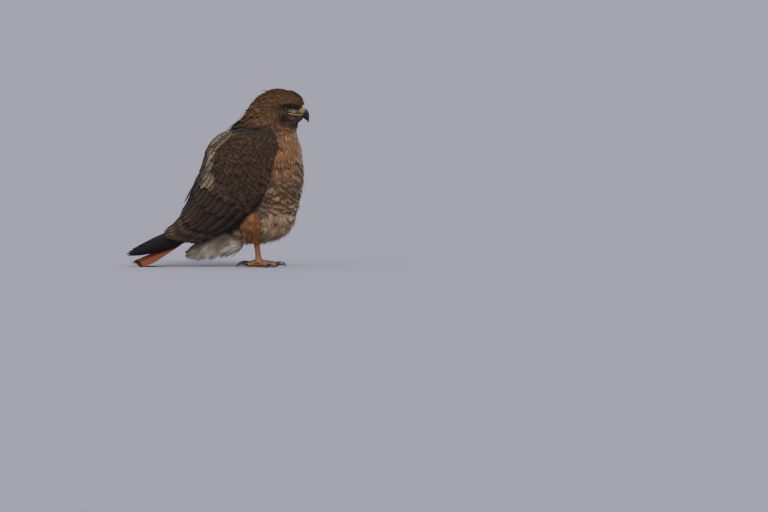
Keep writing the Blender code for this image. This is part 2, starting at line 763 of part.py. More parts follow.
def wing_core(side):
    """The closed body that the wing's feathers grow from."""
    sign = SIDES[side]
    outer = []
    inner = []
    for i in range(CORE_ROWS + 1):
        for j in range(CORE_COLUMNS + 1):
            angle = blend(WING_LOW, WING_HIGH, j / CORE_COLUMNS)
            s = blend(wing_front(angle), core_reach(angle), i / CORE_ROWS)
            lowest = math.radians(read_curve(LOW_EDGE, s)[0])
            angle = blend(lowest, WING_HIGH, j / CORE_COLUMNS)
            top = core_height(s, angle)
            depth = blend(*CORE_DEPTH, smooth_step(95.0, 150.0, s))
            outer.append(sleeve_place(s, angle, top, sign))
            inner.append(sleeve_place(s, angle, min(depth, top - CORE_THICK), sign))
    points = outer + inner
    half = len(outer)
    wide = CORE_COLUMNS + 1
    faces = []
    for i in range(CORE_ROWS):
        for j in range(CORE_COLUMNS):
            a = i * wide + j
            faces.append((a, a + 1, a + wide + 1, a + wide))
            faces.append((half + a, half + a + wide, half + a + wide + 1, half + a + 1))
    edge = list(range(wide))
    edge += [i * wide + CORE_COLUMNS for i in range(1, CORE_ROWS + 1)]
    edge += [CORE_ROWS * wide + j for j in range(CORE_COLUMNS - 1, -1, -1)]
    edge += [i * wide for i in range(CORE_ROWS - 1, 0, -1)]
    for a, b in zip(edge, edge[1:] + edge[:1]):
        faces.append((a, b, half + b, half + a))
    return mesh_object("wing_" + side, points, faces, "back")


def make_wing(side, trunk, thigh):
    """One folded wing, cut clear of the trunk and the thigh."""
    wing = wing_core(side)
    combine(wing, wing_feathers(side), "UNION")
    combine(wing, [grown(trunk), grown(thigh)], "DIFFERENCE")


def tail_half(s):
    """Half the folded tail's width along the fold line."""
    return read_curve(TAIL_WIDTH, s)[0]


def tail_surface(s, y, height):
    """A point of the arched tail, never below the ground."""
    return fold(s, TAIL_TOP - TAIL_ARCH * y * y + height, y)


def tail_vane(sign, n):
    """One tail feather, n counted out from the middle pair, which lies on top."""
    level = -TAIL_STEP * (n + 1 if n or sign > 0 else 0)
    tip = TAIL_TIP - 1.1 * n

    def place(u, v, h):
        s = blend(TAIL_ROOT, tip, u)
        half = tail_half(s)
        outer = half * (n + 1.6) / 6.6
        inner = outer - TAIL_FEATHER * half / 32.0
        if n:
            inner = max(inner, 0.6)
        y = blend(inner, outer, 0.5 + v)
        point = tail_surface(s, sign * y, level + h)
        point.z = max(point.z, VANE_THICK / 2.0 + h)
        return point

    return vane(place, 1.0, VANE_THICK)


def make_tail():
    """The folded tail: twelve feathers in an arched stack on a short root."""
    rings = []
    for s, lift, thick in TAIL_CORE:
        half = tail_half(s) * 0.86
        ring = [tail_surface(s, blend(-half, half, k / 6), lift) for k in range(7)]
        ring += [tail_surface(s, blend(half, -half, k / 6), lift - thick) for k in range(7)]
        rings.append(ring)
    feathers = [tail_vane(sign, n) for sign in SIDES.values() for n in range(6)]
    combine(tube("tail", rings, "rufous"), feathers, "UNION")


def make_thigh(side):
    """The feathered thigh down to its hem above the bare shank."""
    rings = []
    for z, x, y, along, across in THIGH:
        middle = Vector((x, SIDES[side] * y, z))
        rings.append(oval(middle, Vector((along, 0, 0)), Vector((0, across, 0)), 14))
    return tube("thigh_" + side, rings, "trousers")


def make_tarsus(side):
    """The bare shank."""
    rings = []
    for z, x, along, across in TARSUS:
        middle = Vector((x, SIDES[side] * TARSUS_Y, z))
        rings.append(oval(middle, Vector((along, 0, 0)), Vector((0, across, 0)), 10))
    return tube("tarsus_" + side, rings, "skin")


def toe_direction(side, angle):
    """The level direction of a toe."""
    turn = math.radians(angle)
    return Vector((math.cos(turn), SIDES[side] * math.sin(turn), 0.0))


def make_toe(side, name):
    """One toe, from inside the palm to its flat end, with its sole below the ground."""
    angle, length, thick, thin = TOES[name][:4]
    forward = toe_direction(side, angle)
    across = Vector((-forward.y, forward.x, 0.0))
    start = Vector((FOOT_X, SIDES[side] * TARSUS_Y, 0.0))
    rings = []
    for k, swell in enumerate(TOE_RADII):
        t = k / (len(TOE_RADII) - 1)
        radius = blend(thick, thin, t) * swell
        middle = start + forward * length * t
        middle.z = radius * 0.86 + 2.2 * math.sin(math.pi * t) * (1.0 - t)
        rings.append(oval(middle, across * radius, Vector((0, 0, radius)), 8, math.pi / 8))
    return tube("toe", rings)


def make_claw(side, name):
    """A curved claw from its toe's flat end down to the ground."""
    angle, length, _, thin, claw = TOES[name]
    forward = toe_direction(side, angle)
    across = Vector((-forward.y, forward.x, 0.0))
    place = Vector((FOOT_X, SIDES[side] * TARSUS_Y, 0.0)) + forward * (length + GAP)
    place.z = thin * 0.95
    drop = place.z - CLAW_TIP_Z
    lean = drop * CLAW_TURN / (2.0 * claw * math.sin(CLAW_TURN / 2.0))
    start = CLAW_TURN / 2.0 - math.asin(lean)
    steps = 5
    rings = []
    for k in range(steps):
        pitch = 0.0 if k == 0 else start - CLAW_TURN * k / steps
        upward = forward * -math.sin(pitch) + Vector((0, 0, math.cos(pitch)))
        radius = thin * 0.84 * (1.0 - 0.9 * (k / steps) ** 1.25)
        rings.append(oval(place.copy(), across * radius * 0.8, upward * radius, 7))
        ahead = start - CLAW_TURN * (k + 0.5) / steps
        travel = forward * math.cos(ahead) + Vector((0, 0, math.sin(ahead)))
        place = place + travel * claw / steps
    rings.append([place])
    return tube("claw_" + name + "_" + side, rings, "claw")


def make_foot(side):
    """Palm and toes as one body, standing on flat soles."""
    centre = Vector((FOOT_X, SIDES[side] * TARSUS_Y, 7.6))
    foot = ball("foot_" + side, centre, (9.5, 8.5, 9.0), 10, 6, "skin")
    combine(foot, [make_toe(side, name) for name in TOES], "UNION")
    below = block(Vector((0, 0, -50.0)), (600.0, 600.0, 100.0))
    above = block(Vector((0, 0, ANKLE_Z + 50.0)), (600.0, 600.0, 100.0))
    combine(foot, [below, above], "DIFFERENCE")
    for name in TOES:
        make_claw(side, name)
    return foot


def block(centre, size):
    """A plain box for cutting flats."""
    half = Vector(size) / 2.0
    rings = []
    for z in (-half.z, half.z):
        corners = [(-half.x, -half.y), (half.x, -half.y), (half.x, half.y), (-half.x, half.y)]
        rings.append([centre + Vector((x, y, z)) for x, y in corners])
    return tube("block", rings)


def make_undertail(trunk):
    """The white feathers under the tail."""
    end = len(UNDERTAIL) - 1.0
    rings = [section_ring(UNDERTAIL, end * k / 9, 12) for k in range(10)]
    plume = tube("undertail", rings, "vent")
    combine(plume, [grown(trunk)], "DIFFERENCE")
    return plume


def lock(root, direction, across, length, width, droop=0.0):
    """A flat tapered lock of soft feathers, bending down towards its tip."""
    direction = direction.normalized()
    across = (across - direction * across.dot(direction)).normalized()
    normal = direction.cross(across)
    fall = Vector((0.0, 0.0, -1.0))
    rings = []
    for t, share in LOCK_PROFILE:
        middle = root + direction * length * t + fall * length * droop * t * t
        half = across * width / 2.0 * share
        ring = oval(middle, half, normal * LOCK_THICK / 2.0 * share, 4)
        rings.append(ring if share else [middle])
    return tube("lock", rings)


def surface_of(body):
    """A body's surface for finding where a lock grows from."""
    return BVHTree.FromObject(body, bpy.context.evaluated_depsgraph_get())


def place_below(surface, x, y):
    """The point, in millimetres, of a surface's underside over a place on the ground."""
    hit = surface.ray_cast(Vector((x, y, -20.0)) * MM, Vector((0.0, 0.0, 1.0)))[0]
    return hit / MM if hit else None


def body_point(t, angle):
    """A point of the body's surface, where the angle is zero along the middle of its front."""
    back, front, half, full = section_at(BODY, t)
    along = abs(math.cos(angle)) ** (2.0 / full)
    out = math.copysign(abs(math.sin(angle)) ** (2.0 / full), math.sin(angle))
    point = (back + front) / 2.0 + (front - back) / 2.0 * along
    return point + Vector((0.0, half * out, 0.0))


def fringe_belly(torso):
    """Soft locks lying back along the lower edge of the belly."""
    draw = random.Random(SEED + 2)
    locks = []
    for row, (t, reach, count) in enumerate(BELLY_ROWS):
        for k in range(count):
            place = t + draw.uniform(-0.12, 0.12)
            angle = blend(-reach, reach, k / (count - 1)) + draw.uniform(-0.05, 0.05)
            root = body_point(place - 0.35, angle)
            ahead = body_point(place + 0.35, angle)
            aside = body_point(place - 0.35, angle + 0.1) - root
            lie = (ahead - root).normalized()
            outward = lie.cross(aside).normalized()
            if outward.dot(root - Vector((0.0, 0.0, 110.0))) < 0.0:
                outward.negate()
            root -= outward * 1.5
            lie = lie + outward * 0.16 + Vector((0.0, 0.0, -0.3))
            length = draw.uniform(27.0, 33.0)
            locks.append(lock(root, lie, aside, length, draw.uniform(15.0, 18.0)))
    combine(torso, locks, "UNION")


def fringe_thigh(thigh, side):
    """Locks down a thigh, loosest along its back edge."""
    sign = SIDES[side]
    draw = random.Random(SEED + 3 + sign)
    table = [(-z, x, y, along, across) for z, x, y, along, across in THIGH]
    locks = []
    for z, angle in THIGH_LOCKS:
        x, y, along, across = read_curve(table, -z)
        turn = math.radians(angle)
        spoke = Vector((along * math.cos(turn), across * math.sin(turn) * sign, 0.0))
        root = Vector((x, y * sign, z)) + spoke * 0.9
        x, y, along, across = read_curve(table, -z + 15.0)
        foot = Vector((x, y * sign, z - 15.0))
        foot += Vector((along * math.cos(turn), across * math.sin(turn) * sign, 0.0)) * 1.12
        length = min(draw.uniform(19.0, 24.0), (z - HEM_Z) * 1.1 + 5.0)
        flat = Vector((-spoke.y, spoke.x, 0.0))
        locks.append(lock(root, foot - root, flat, length, draw.uniform(9.0, 12.0)))
    combine(thigh, locks, "UNION")


def fringe_undertail(plume):
    """White locks under the tail, lying back towards its tip."""
    draw = random.Random(SEED + 6)
    surface = surface_of(plume)
    locks = []
    for x, reach, count in UNDERTAIL_ROWS:
        for k in range(count):
            y = blend(-reach, reach, k / (count - 1)) + draw.uniform(-1.0, 1.0)
            root = place_below(surface, x, y)
            if root is None:
                continue
            drop = blend(-0.75, -0.1, smooth_step(-50.0, -95.0, x))
            direction = Vector((-1.0, y / 60.0, drop))
            root += Vector((5.0, 0.0, 2.5))
            across = Vector((0.0, 1.0, -y / 40.0))
            length = draw.uniform(22.0, 29.0)
            locks.append(lock(root, direction, across, length, draw.uniform(10.0, 13.0), 0.1))
    combine(plume, locks, "UNION")


def centre_on_footprint():
    """Move the whole bird so that the middle of its box is over the origin."""
    low = Vector((1e9, 1e9, 1e9))
    high = -low
    for body in bpy.context.scene.objects:
        for vertex in body.data.vertices:
            low = Vector(map(min, low, vertex.co))
            high = Vector(map(max, high, vertex.co))
    shift = Vector((-(low.x + high.x) / 2.0, -(low.y + high.y) / 2.0, -low.z))
    for body in bpy.context.scene.objects:
        body.data.transform(Matrix.Translation(shift))


def main():
    """Build every part."""
    for body in list(bpy.data.objects):
        bpy.data.objects.remove(body)
    head, torso, trunk = make_body()
    make_bill(head)
    make_eyes(head)
    make_mouth(head)
    thighs = {side: make_thigh(side) for side in SIDES}
    for side, thigh in thighs.items():
        make_wing(side, trunk, thigh)
        fringe_thigh(thigh, side)
        combine(thigh, [grown(trunk)], "DIFFERENCE")
        make_tarsus(side)
        make_foot(side)
    make_tail()
    plume = make_undertail(trunk)
    fringe_undertail(plume)
    fringe_belly(torso)
    combine(torso, [grown(thigh) for thigh in thighs.values()], "DIFFERENCE")
    remove(trunk)
    centre_on_footprint()


main()
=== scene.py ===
"""The visual model of a red tailed hawk standing at rest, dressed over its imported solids.

The bird looks along +X, its right side is at -Y, +Z is up and the ground is z = 0. Shapes are
worked out in millimetres in the bird's own side view and placed in the frame by Placement.
"""

import logging
import math
from dataclasses import dataclass, field, replace
from enum import Enum
from typing import Callable, Sequence

import bpy
import numpy as np
from mathutils import Matrix, Vector


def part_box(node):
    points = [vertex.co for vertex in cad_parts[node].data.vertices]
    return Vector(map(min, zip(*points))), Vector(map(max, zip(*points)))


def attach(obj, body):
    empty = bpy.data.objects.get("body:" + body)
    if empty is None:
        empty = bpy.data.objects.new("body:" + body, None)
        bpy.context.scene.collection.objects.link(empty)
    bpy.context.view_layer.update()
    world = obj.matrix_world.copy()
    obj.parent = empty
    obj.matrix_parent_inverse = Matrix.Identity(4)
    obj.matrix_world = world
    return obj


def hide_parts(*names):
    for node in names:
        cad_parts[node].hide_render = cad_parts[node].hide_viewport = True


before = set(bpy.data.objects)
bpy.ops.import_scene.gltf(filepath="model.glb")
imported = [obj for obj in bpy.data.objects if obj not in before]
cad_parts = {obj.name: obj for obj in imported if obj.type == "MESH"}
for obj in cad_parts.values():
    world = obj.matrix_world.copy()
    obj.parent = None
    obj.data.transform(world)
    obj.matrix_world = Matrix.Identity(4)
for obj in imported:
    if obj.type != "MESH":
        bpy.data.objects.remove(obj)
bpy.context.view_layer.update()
LOG = logging.getLogger("hawk")
MM = 0.001
SEED = 41
Array = np.ndarray


class Side(Enum):
    """The two sides of the bird and the way Y goes on each."""

    RIGHT = -1
    LEFT = 1

    @property
    def word(self) -> str:
        """The side's name as the nodes spell it."""
        return self.name.lower()


def linear(red: int, green: int, blue: int) -> tuple[float, float, float]:
    """A colour given from 0 to 255 as it is seen, turned to linear light."""
    shades = [value / 255.0 for value in (red, green, blue)]
    return tuple(s / 12.92 if s <= 0.04045 else ((s + 0.055) / 1.055) ** 2.4 for s in shades)


def ramp(low: float, high: float, x: Array) -> Array:
    """A soft step from 0 at low to 1 at high, where high may be the lesser of the two."""
    t = np.clip((np.asarray(x, float) - low) / (high - low), 0.0, 1.0)
    return t * t * (3.0 - 2.0 * t)


def mix(start: Array, end: Array, t: Array) -> Array:
    """The value at t between start and end."""
    return start + (end - start) * t


def bump(x: Array, z: Array, centre: tuple[float, float], spread: tuple[float, float]) -> Array:
    """A soft round patch in the side view, 1 at its centre."""
    return np.exp(-(((x - centre[0]) / spread[0]) ** 2) - ((z - centre[1]) / spread[1]) ** 2)


class Curve:
    """A smooth curve through the rows of a table, whose first column is the distance."""

    def __init__(self, rows: Sequence[Sequence[float]]) -> None:
        """Keep the rows and their slopes.

        Args:
            rows: distance and one or more values in each row.
        """
        table = np.array(rows, float)
        self.places = table[:, 0]
        self.values = table[:, 1:]
        self.slopes = np.gradient(self.values, self.places, axis=0)

    def at(self, x: Array) -> Array:
        """Read the curve.

        Args:
            x: distances of any shape.

        Returns:
            An array with one more axis, which holds the values.
        """
        x = np.clip(np.asarray(x, float), self.places[0], self.places[-1])
        i = np.clip(np.searchsorted(self.places, x, side="right") - 1, 0, len(self.places) - 2)
        span = (self.places[i + 1] - self.places[i])[..., None]
        t = (x[..., None] - self.places[i][..., None]) / span
        start = (2 * t**3 - 3 * t**2 + 1) * self.values[i]
        start = start + (t**3 - 2 * t**2 + t) * span * self.slopes[i]
        end = (3 * t**2 - 2 * t**3) * self.values[i + 1]
        return start + end + (t**3 - t**2) * span * self.slopes[i + 1]

    def one(self, x: Array) -> Array:
        """The first value only."""
        return self.at(x)[..., 0]


@dataclass(frozen=True)
class Placement:
    """Takes points from the bird's own side view to the frame."""

    eye_x: float = 47.7

    def shift(self) -> float:
        """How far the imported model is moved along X, in metres, read from its eyes."""
        low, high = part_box("eye_right")
        return (low[0] + high[0]) / 2.0 - self.eye_x * MM

    def world(self, points: Array) -> Array:
        """Points in millimetres of the side view as metres of the frame."""
        return np.asarray(points, float) * MM + np.array([self.shift(), 0.0, 0.0])


PLACE = Placement()


@dataclass(frozen=True)
class FoldLine:
    """The line that the folded wings and the tail lie along, which levels out to the ground."""

    start: tuple[float, float] = (-8.0, 186.0)
    length: float = 299.0
    slope: float = math.radians(51.5)
    turn: float = math.radians(30.5)

    def point(self, s: Array, off: Array, y: Array) -> Array:
        """A place along the line, above it towards the back, and out to the side.

        Args:
            s: distance along the line.
            off: distance above it.
            y: distance to the side.

        Returns:
            Points in millimetres.
        """
        bend = self.turn / self.length
        inside = np.clip(s, 0.0, self.length)
        angle = self.slope - bend * inside
        past = s - inside
        x = self.start[0] + (np.sin(angle) - math.sin(self.slope)) / bend
        z = self.start[1] - (np.cos(angle) - math.cos(self.slope)) / bend
        x = x - np.cos(angle) * past - np.sin(angle) * off
        z = z + np.cos(angle) * off - np.sin(angle) * past
        return np.stack(np.broadcast_arrays(x, y, z), axis=-1)


FOLD = FoldLine()


def at_fold(s: float, off: float) -> tuple[float, float]:
    """The side view place of a point given along the fold line."""
    x, _, z = FOLD.point(np.float64(s), np.float64(off), np.float64(0.0))
    return float(x), float(z)


@dataclass(frozen=True)
class Atlas:
    """A rectangle of the coat's unwrap and the coordinates that it shows."""

    corner: tuple[float, float]
    size: tuple[float, float]
    u_span: tuple[float, float]
    v_span: tuple[float, float]

    def at(self, u: Array, v: Array) -> Array:
        """The place on the unwrap of surface coordinates."""
        across = (np.asarray(u) - self.u_span[0]) / (self.u_span[1] - self.u_span[0])
        along = (np.asarray(v) - self.v_span[0]) / (self.v_span[1] - self.v_span[0])
        across = np.clip(across, 0.01, 0.99) * self.size[0] + self.corner[0]
        along = np.clip(along, 0.01, 0.99) * self.size[1] + self.corner[1]
        return np.stack([across, along], axis=-1)


class Surface:
    """A smooth surface with two coordinates and a height above it, which feathers lie on."""

    atlas: Atlas

    def base(self, u: Array, v: Array) -> Array:
        """Points of the surface itself."""
        raise NotImplementedError

    def inside(self, u: Array) -> Array:
        """A point within the surface at each u, which tells out from in."""
        raise NotImplementedError

    def slopes(self, u: Array, v: Array) -> tuple[Array, Array]:
        """How the surface runs along u and along v, per unit of each."""
        step_u = 1e-3 * (self.atlas.u_span[1] - self.atlas.u_span[0])
        step_v = 1e-3 * (self.atlas.v_span[1] - self.atlas.v_span[0])
        along = (self.base(u + step_u, v) - self.base(u - step_u, v)) / (2.0 * step_u)
        across = (self.base(u, v + step_v) - self.base(u, v - step_v)) / (2.0 * step_v)
        return along, across

    def outward(self, u: Array, v: Array) -> Array:
        """The unit direction out of the surface."""
        along, across = self.slopes(u, v)
        out = np.cross(along, across)
        out /= np.maximum(np.linalg.norm(out, axis=-1, keepdims=True), 1e-9)
        away = np.sum(out * (self.base(u, v) - self.inside(u)), axis=-1, keepdims=True)
        return np.where(away < 0.0, -out, out)

    def point(self, u: Array, v: Array, h: Array) -> Array:
        """Points at a height above the surface."""
        return self.base(u, v) + self.outward(u, v) * np.asarray(h)[..., None]


@dataclass(frozen=True)
class Hollow:
    """A swelling or hollow of the face in the side view."""

    centre: tuple[float, float]
    spread: tuple[float, float]
    height: float


@dataclass
class BodySurface(Surface):
    """Head, neck and trunk, from the forehead (0) to the tail's root (20).

    The second coordinate is the angle round the body, 0 along the throat and belly.
    """

    sections: list = field(
        default_factory=lambda: [
            ((66.5, 330.0), (66.5, 330.0), 0.0, 2.0),
            ((53.0, 334.0), (78.0, 319.0), 17.0, 2.0),
            ((39.0, 336.5), (80.5, 306.5), 26.5, 2.1),
            ((24.0, 335.5), (73.0, 294.0), 31.5, 2.1),
            ((9.5, 330.0), (70.0, 281.0), 34.0, 2.1),
            ((-7.0, 319.0), (69.0, 268.5), 35.0, 2.1),
            ((-19.0, 304.5), (66.5, 259.5), 36.5, 2.1),
            ((-29.0, 289.0), (68.0, 251.5), 39.5, 2.1),
            ((-43.7, 273.0), (70.3, 241.0), 46.0, 2.1),
            ((-62.7, 258.0), (74.5, 225.0), 55.0, 2.1),
            ((-81.7, 239.0), (77.0, 203.0), 62.0, 2.15),
            ((-96.0, 213.0), (78.5, 180.0), 66.0, 2.2),
            ((-103.5, 184.0), (78.0, 155.0), 66.0, 2.2),
            ((-104.5, 154.0), (72.5, 127.0), 62.0, 2.2),
            ((-102.5, 130.0), (66.5, 103.0), 57.0, 2.2),
            (at_fold(110.0, 24.0), (56.0, 79.0), 51.0, 2.2),
            (at_fold(114.0, 17.0), (38.0, 60.0), 45.0, 2.2),
            (at_fold(117.0, 13.0), (6.0, 51.0), 37.0, 2.2),
            (at_fold(120.0, 10.0), (-24.0, 49.0), 30.0, 2.1),
            (at_fold(122.5, 8.0), (-50.0, 52.0), 24.0, 2.0),
            (at_fold(125.0, 6.0), at_fold(125.0, -38.0), 19.0, 2.0),
        ]
    )
    face: tuple = (
        Hollow((52.0, 311.5), (19.0, 4.5), 4.6),
        Hollow((48.5, 301.0), (9.0, 6.5), -4.5),
        Hollow((63.0, 296.0), (8.0, 6.0), -4.0),
        Hollow((40.0, 282.0), (13.0, 9.0), 1.5),
    )
    face_end: float = 6.4
    atlas: Atlas = Atlas((0.02, 0.02), (0.46, 0.96), (0.0, 20.0), (-math.pi, math.pi))

    def __post_init__(self) -> None:
        """Turn the sections into a curve."""
        rows = [(i, *b, *f, half, full) for i, (b, f, half, full) in enumerate(self.sections)]
        self.curve = Curve(rows)

    def section(self, t: Array) -> tuple[Array, Array, Array, Array]:
        """Back point, front point, half width and fullness at t."""
        values = self.curve.at(t)
        back, front = values[..., 0:2], values[..., 2:4]
        half, full = values[..., 4], values[..., 5]
        first = self.curve.values[1]
        turn = np.clip(t, 0.02, 1.0) * math.pi / 2.0
        tip = np.array(self.sections[0][0])
        middle = mix(tip, (first[0:2] + first[2:4]) / 2.0, (1.0 - np.cos(turn))[..., None])
        reach = (first[0:2] - first[2:4]) / 2.0 * np.sin(turn)[..., None]
        early = np.asarray(t < 1.0)[..., None]
        back = np.where(early, middle + reach, back)
        front = np.where(early, middle - reach, front)
        half = np.where(early[..., 0], first[4] * np.sin(turn), half)
        full = np.where(early[..., 0], 2.0, full)
        return back, front, half, full

    def base(self, u: Array, v: Array) -> Array:
        """Points of the body's outline."""
        u, v = np.broadcast_arrays(np.asarray(u, float), np.asarray(v, float))
        back, front, half, full = self.section(u)
        power = 2.0 / full
        along = np.sign(np.cos(v)) * np.abs(np.cos(v)) ** power
        out = np.sign(np.sin(v)) * np.abs(np.sin(v)) ** power
        flat = (back + front) / 2.0 + (front - back) / 2.0 * along[..., None]
        x, z = flat[..., 0], flat[..., 1]
        rise = np.zeros_like(x)
        for part in self.face:
            rise += part.height * bump(x, z, part.centre, part.spread)
        rise = np.where(u > self.face_end, 0.0, rise)
        return np.stack([x, (half + rise) * out, z], axis=-1)

    def inside(self, u: Array) -> Array:
        """The middle of each section."""
        back, front, _, _ = self.section(np.asarray(u, float))
        middle = (back + front) / 2.0
        return np.stack([middle[..., 0], np.zeros_like(middle[..., 0]), middle[..., 1]], axis=-1)


@dataclass
class WingSurface(Surface):
    """The folded wing's outer surface: distance along the fold line and angle round it."""

    side: Side = Side.RIGHT
    sleeve: Curve = field(
        default_factory=lambda: Curve(
            [
                (-75.0, 60.0, 56.0, 26.0),
                (-45.0, 69.0, 60.0, 24.0),
                (-20.0, 75.0, 72.0, 20.0),
                (8.0, 78.0, 84.0, 16.0),
                (28.0, 79.0, 86.0, 13.0),
                (52.0, 78.0, 81.0, 11.0),
                (79.0, 74.0, 71.0, 8.0),
                (103.0, 67.0, 66.0, 5.0),
                (131.0, 57.0, 57.0, 1.0),
                (151.0, 49.5, 48.5, -1.0),
                (174.0, 43.0, 40.0, -2.0),
                (197.0, 37.5, 32.0, -1.5),
                (224.0, 31.5, 28.5, 0.5),
                (254.0, 26.5, 23.5, 5.0),
                (283.0, 21.5, 18.0, 8.5),
                (303.0, 18.0, 13.0, 10.5),
            ]
        )
    )
    low_side: Curve = field(
        default_factory=lambda: Curve(
            [(-75.0, 1.25), (110.0, 1.25), (200.0, 1.0), (303.0, 1.0)]
        )
    )
    midline: float = 1.3
    top: float = math.radians(88.0)

    def __post_init__(self) -> None:
        """Give each wing its own part of the unwrap."""
        left = 0.50 if self.side is Side.RIGHT else 0.75
        self.atlas = Atlas((left, 0.36), (0.23, 0.62), (-80.0, 305.0), (-0.62, 1.55))

    def point(self, u: Array, v: Array, h: Array) -> Array:
        """Points at a height above the folded wing."""
        v = np.minimum(v, self.top)
        width, tall, middle = np.moveaxis(self.sleeve.at(u), -1, 0)
        low = np.where(v < 0.0, self.low_side.one(u), 1.0)
        off = middle + (tall * low + h) * np.sin(v)
        y = np.maximum((width + h) * np.cos(v), self.midline)
        return FOLD.point(np.asarray(u, float), off, self.side.value * y)

    def base(self, u: Array, v: Array) -> Array:
        """Points of the wing's outer surface."""
        return self.point(u, v, 0.0)

    def inside(self, u: Array) -> Array:
        """Points on the fold line."""
        return FOLD.point(np.asarray(u, float), 0.0, 0.0)

    def radius(self, u: Array, v: Array, h: Array) -> Array:
        """Millimetres for each radian round the wing."""
        width, tall, _ = np.moveaxis(self.sleeve.at(u), -1, 0)
        return np.hypot((width + h) * np.sin(v), (tall + h) * np.cos(v))


@dataclass
class TailSurface(Surface):
    """The arched top of the folded tail: distance along the fold line and to the side."""

    arch: float = 0.0129
    top: float = -2.0
    floor: float = 0.25
    width: Curve = field(
        default_factory=lambda: Curve(
            [(120, 13), (160, 17), (200, 20), (225, 23), (250, 27), (300, 32)]
        )
    )
    atlas: Atlas = Atlas((0.50, 0.02), (0.20, 0.30), (110.0, 310.0), (-34.0, 34.0))

    def point(self, u: Array, v: Array, h: Array) -> Array:
        """Points at a height above the tail, never under the ground."""
        place = FOLD.point(np.asarray(u, float), self.top - self.arch * v * v + h, v)
        place[..., 2] = np.maximum(place[..., 2], self.floor)
        return place

    def base(self, u: Array, v: Array) -> Array:
        """Points of the tail's arch."""
        return self.point(u, v, 0.0)

    def inside(self, u: Array) -> Array:
        """Points under the arch."""
        return FOLD.point(np.asarray(u, float), -20.0, 0.0)


@dataclass
class ThighSurface(Surface):
    """A feathered thigh: u runs down from its top (0) to its hem (1), v round it."""

    side: Side = Side.RIGHT
    rings: tuple = (
        (112.0, -20.0, 40.0, 18.0, 13.0),
        (100.0, -19.0, 43.0, 19.5, 15.5),
        (86.0, -19.0, 41.5, 18.5, 15.5),
        (72.0, -19.5, 37.0, 17.0, 14.0),
        (60.0, -17.5, 32.0, 14.0, 12.0),
        (52.0, -14.0, 29.0, 10.5, 10.0),
        (46.5, -10.0, 27.3, 8.0, 8.0),
    )

    def __post_init__(self) -> None:
        """Turn the rings into a curve by their share of the way down."""
        high, low = self.rings[0][0], self.rings[-1][0]
        self.curve = Curve([((high - z) / (high - low), z, *rest) for z, *rest in self.rings])
        left = 0.72 if self.side is Side.RIGHT else 0.85
        self.atlas = Atlas((left, 0.02), (0.12, 0.14), (0.0, 1.0), (-math.pi, math.pi))

    def base(self, u: Array, v: Array) -> Array:
        """Points of the thigh's outline, v 0 at its front."""
        z, x, y, along, across = np.moveaxis(self.curve.at(u), -1, 0)
        x = x + along * np.cos(v)
        return np.stack([x, self.side.value * (y + across * np.sin(v)), z + 0.0 * v], axis=-1)

    def inside(self, u: Array) -> Array:
        """The middle of each ring."""
        z, x, y, _, _ = np.moveaxis(self.curve.at(u), -1, 0)
        return np.stack([x, self.side.value * y, z], axis=-1)


@dataclass
class VentSurface(Surface):
    """The soft white feathers under the tail: u from the front (0) to their tip (7)."""

    sections: list = field(
        default_factory=lambda: [
            ((-29.0, 53.0), (-29.0, 51.0), 3.0),
            ((-42.0, 62.0), (-38.0, 36.0), 15.0),
            ((-62.0, 70.0), (-59.0, 30.0), 18.0),
            (at_fold(133.0, -28.0), (-80.0, 27.0), 18.0),
            (at_fold(155.0, -28.0), (-100.0, 23.0), 15.0),
            (at_fold(174.0, -28.0), (-117.0, 20.0), 11.0),
            (at_fold(190.0, -28.0), (-131.0, 18.0), 6.5),
            (at_fold(203.0, -31.0), at_fold(203.0, -32.0), 1.5),
        ]
    )
    atlas: Atlas = Atlas((0.72, 0.18), (0.25, 0.15), (0.0, 7.0), (-math.pi, math.pi))

    def __post_init__(self) -> None:
        """Turn the sections into a curve."""
        rows = [(i, *top, *low, half) for i, (top, low, half) in enumerate(self.sections)]
        self.curve = Curve(rows)

    def base(self, u: Array, v: Array) -> Array:
        """Points of the outline, v 0 along its underside."""
        values = self.curve.at(u)
        top, low, half = values[..., 0:2], values[..., 2:4], values[..., 4]
        flat = (top + low) / 2.0 + (low - top) / 2.0 * np.cos(v)[..., None]
        return np.stack([flat[..., 0], half * np.sin(v), flat[..., 1]], axis=-1)

    def inside(self, u: Array) -> Array:
        """The middle of each section."""
        values = self.curve.at(u)
        middle = (values[..., 0:2] + values[..., 2:4]) / 2.0
        return np.stack([middle[..., 0], 0.0 * middle[..., 0], middle[..., 1]], axis=-1)


@dataclass(frozen=True)
class Form:
    """The mesh of one feather: shares along and across it, and its triangles."""

    along: Array
    across: Array
    lift: Array
    loose: Array
    faces: Array


def sheet_faces(rows: int, wide: int) -> list[tuple[int, int, int]]:
    """Triangles of a closed body between two grids of points, the outer grid first."""
    sheet = rows * wide
    faces = []
    for i in range(rows - 1):
        for j in range(wide - 1):
            a = i * wide + j
            faces += [(a, a + 1, a + wide + 1), (a, a + wide + 1, a + wide)]
            b = a + sheet
            faces += [(b, b + wide + 1, b + 1), (b, b + wide, b + wide + 1)]
    edge = list(range(wide))
    edge += [i * wide + wide - 1 for i in range(1, rows)]
    edge += [(rows - 1) * wide + j for j in range(wide - 2, -1, -1)]
    edge += [i * wide for i in range(rows - 2, 0, -1)]
    for a, b in zip(edge, edge[1:] + edge[:1]):
        faces += [(a, a + sheet, b + sheet), (a, b + sheet, b)]
    return faces


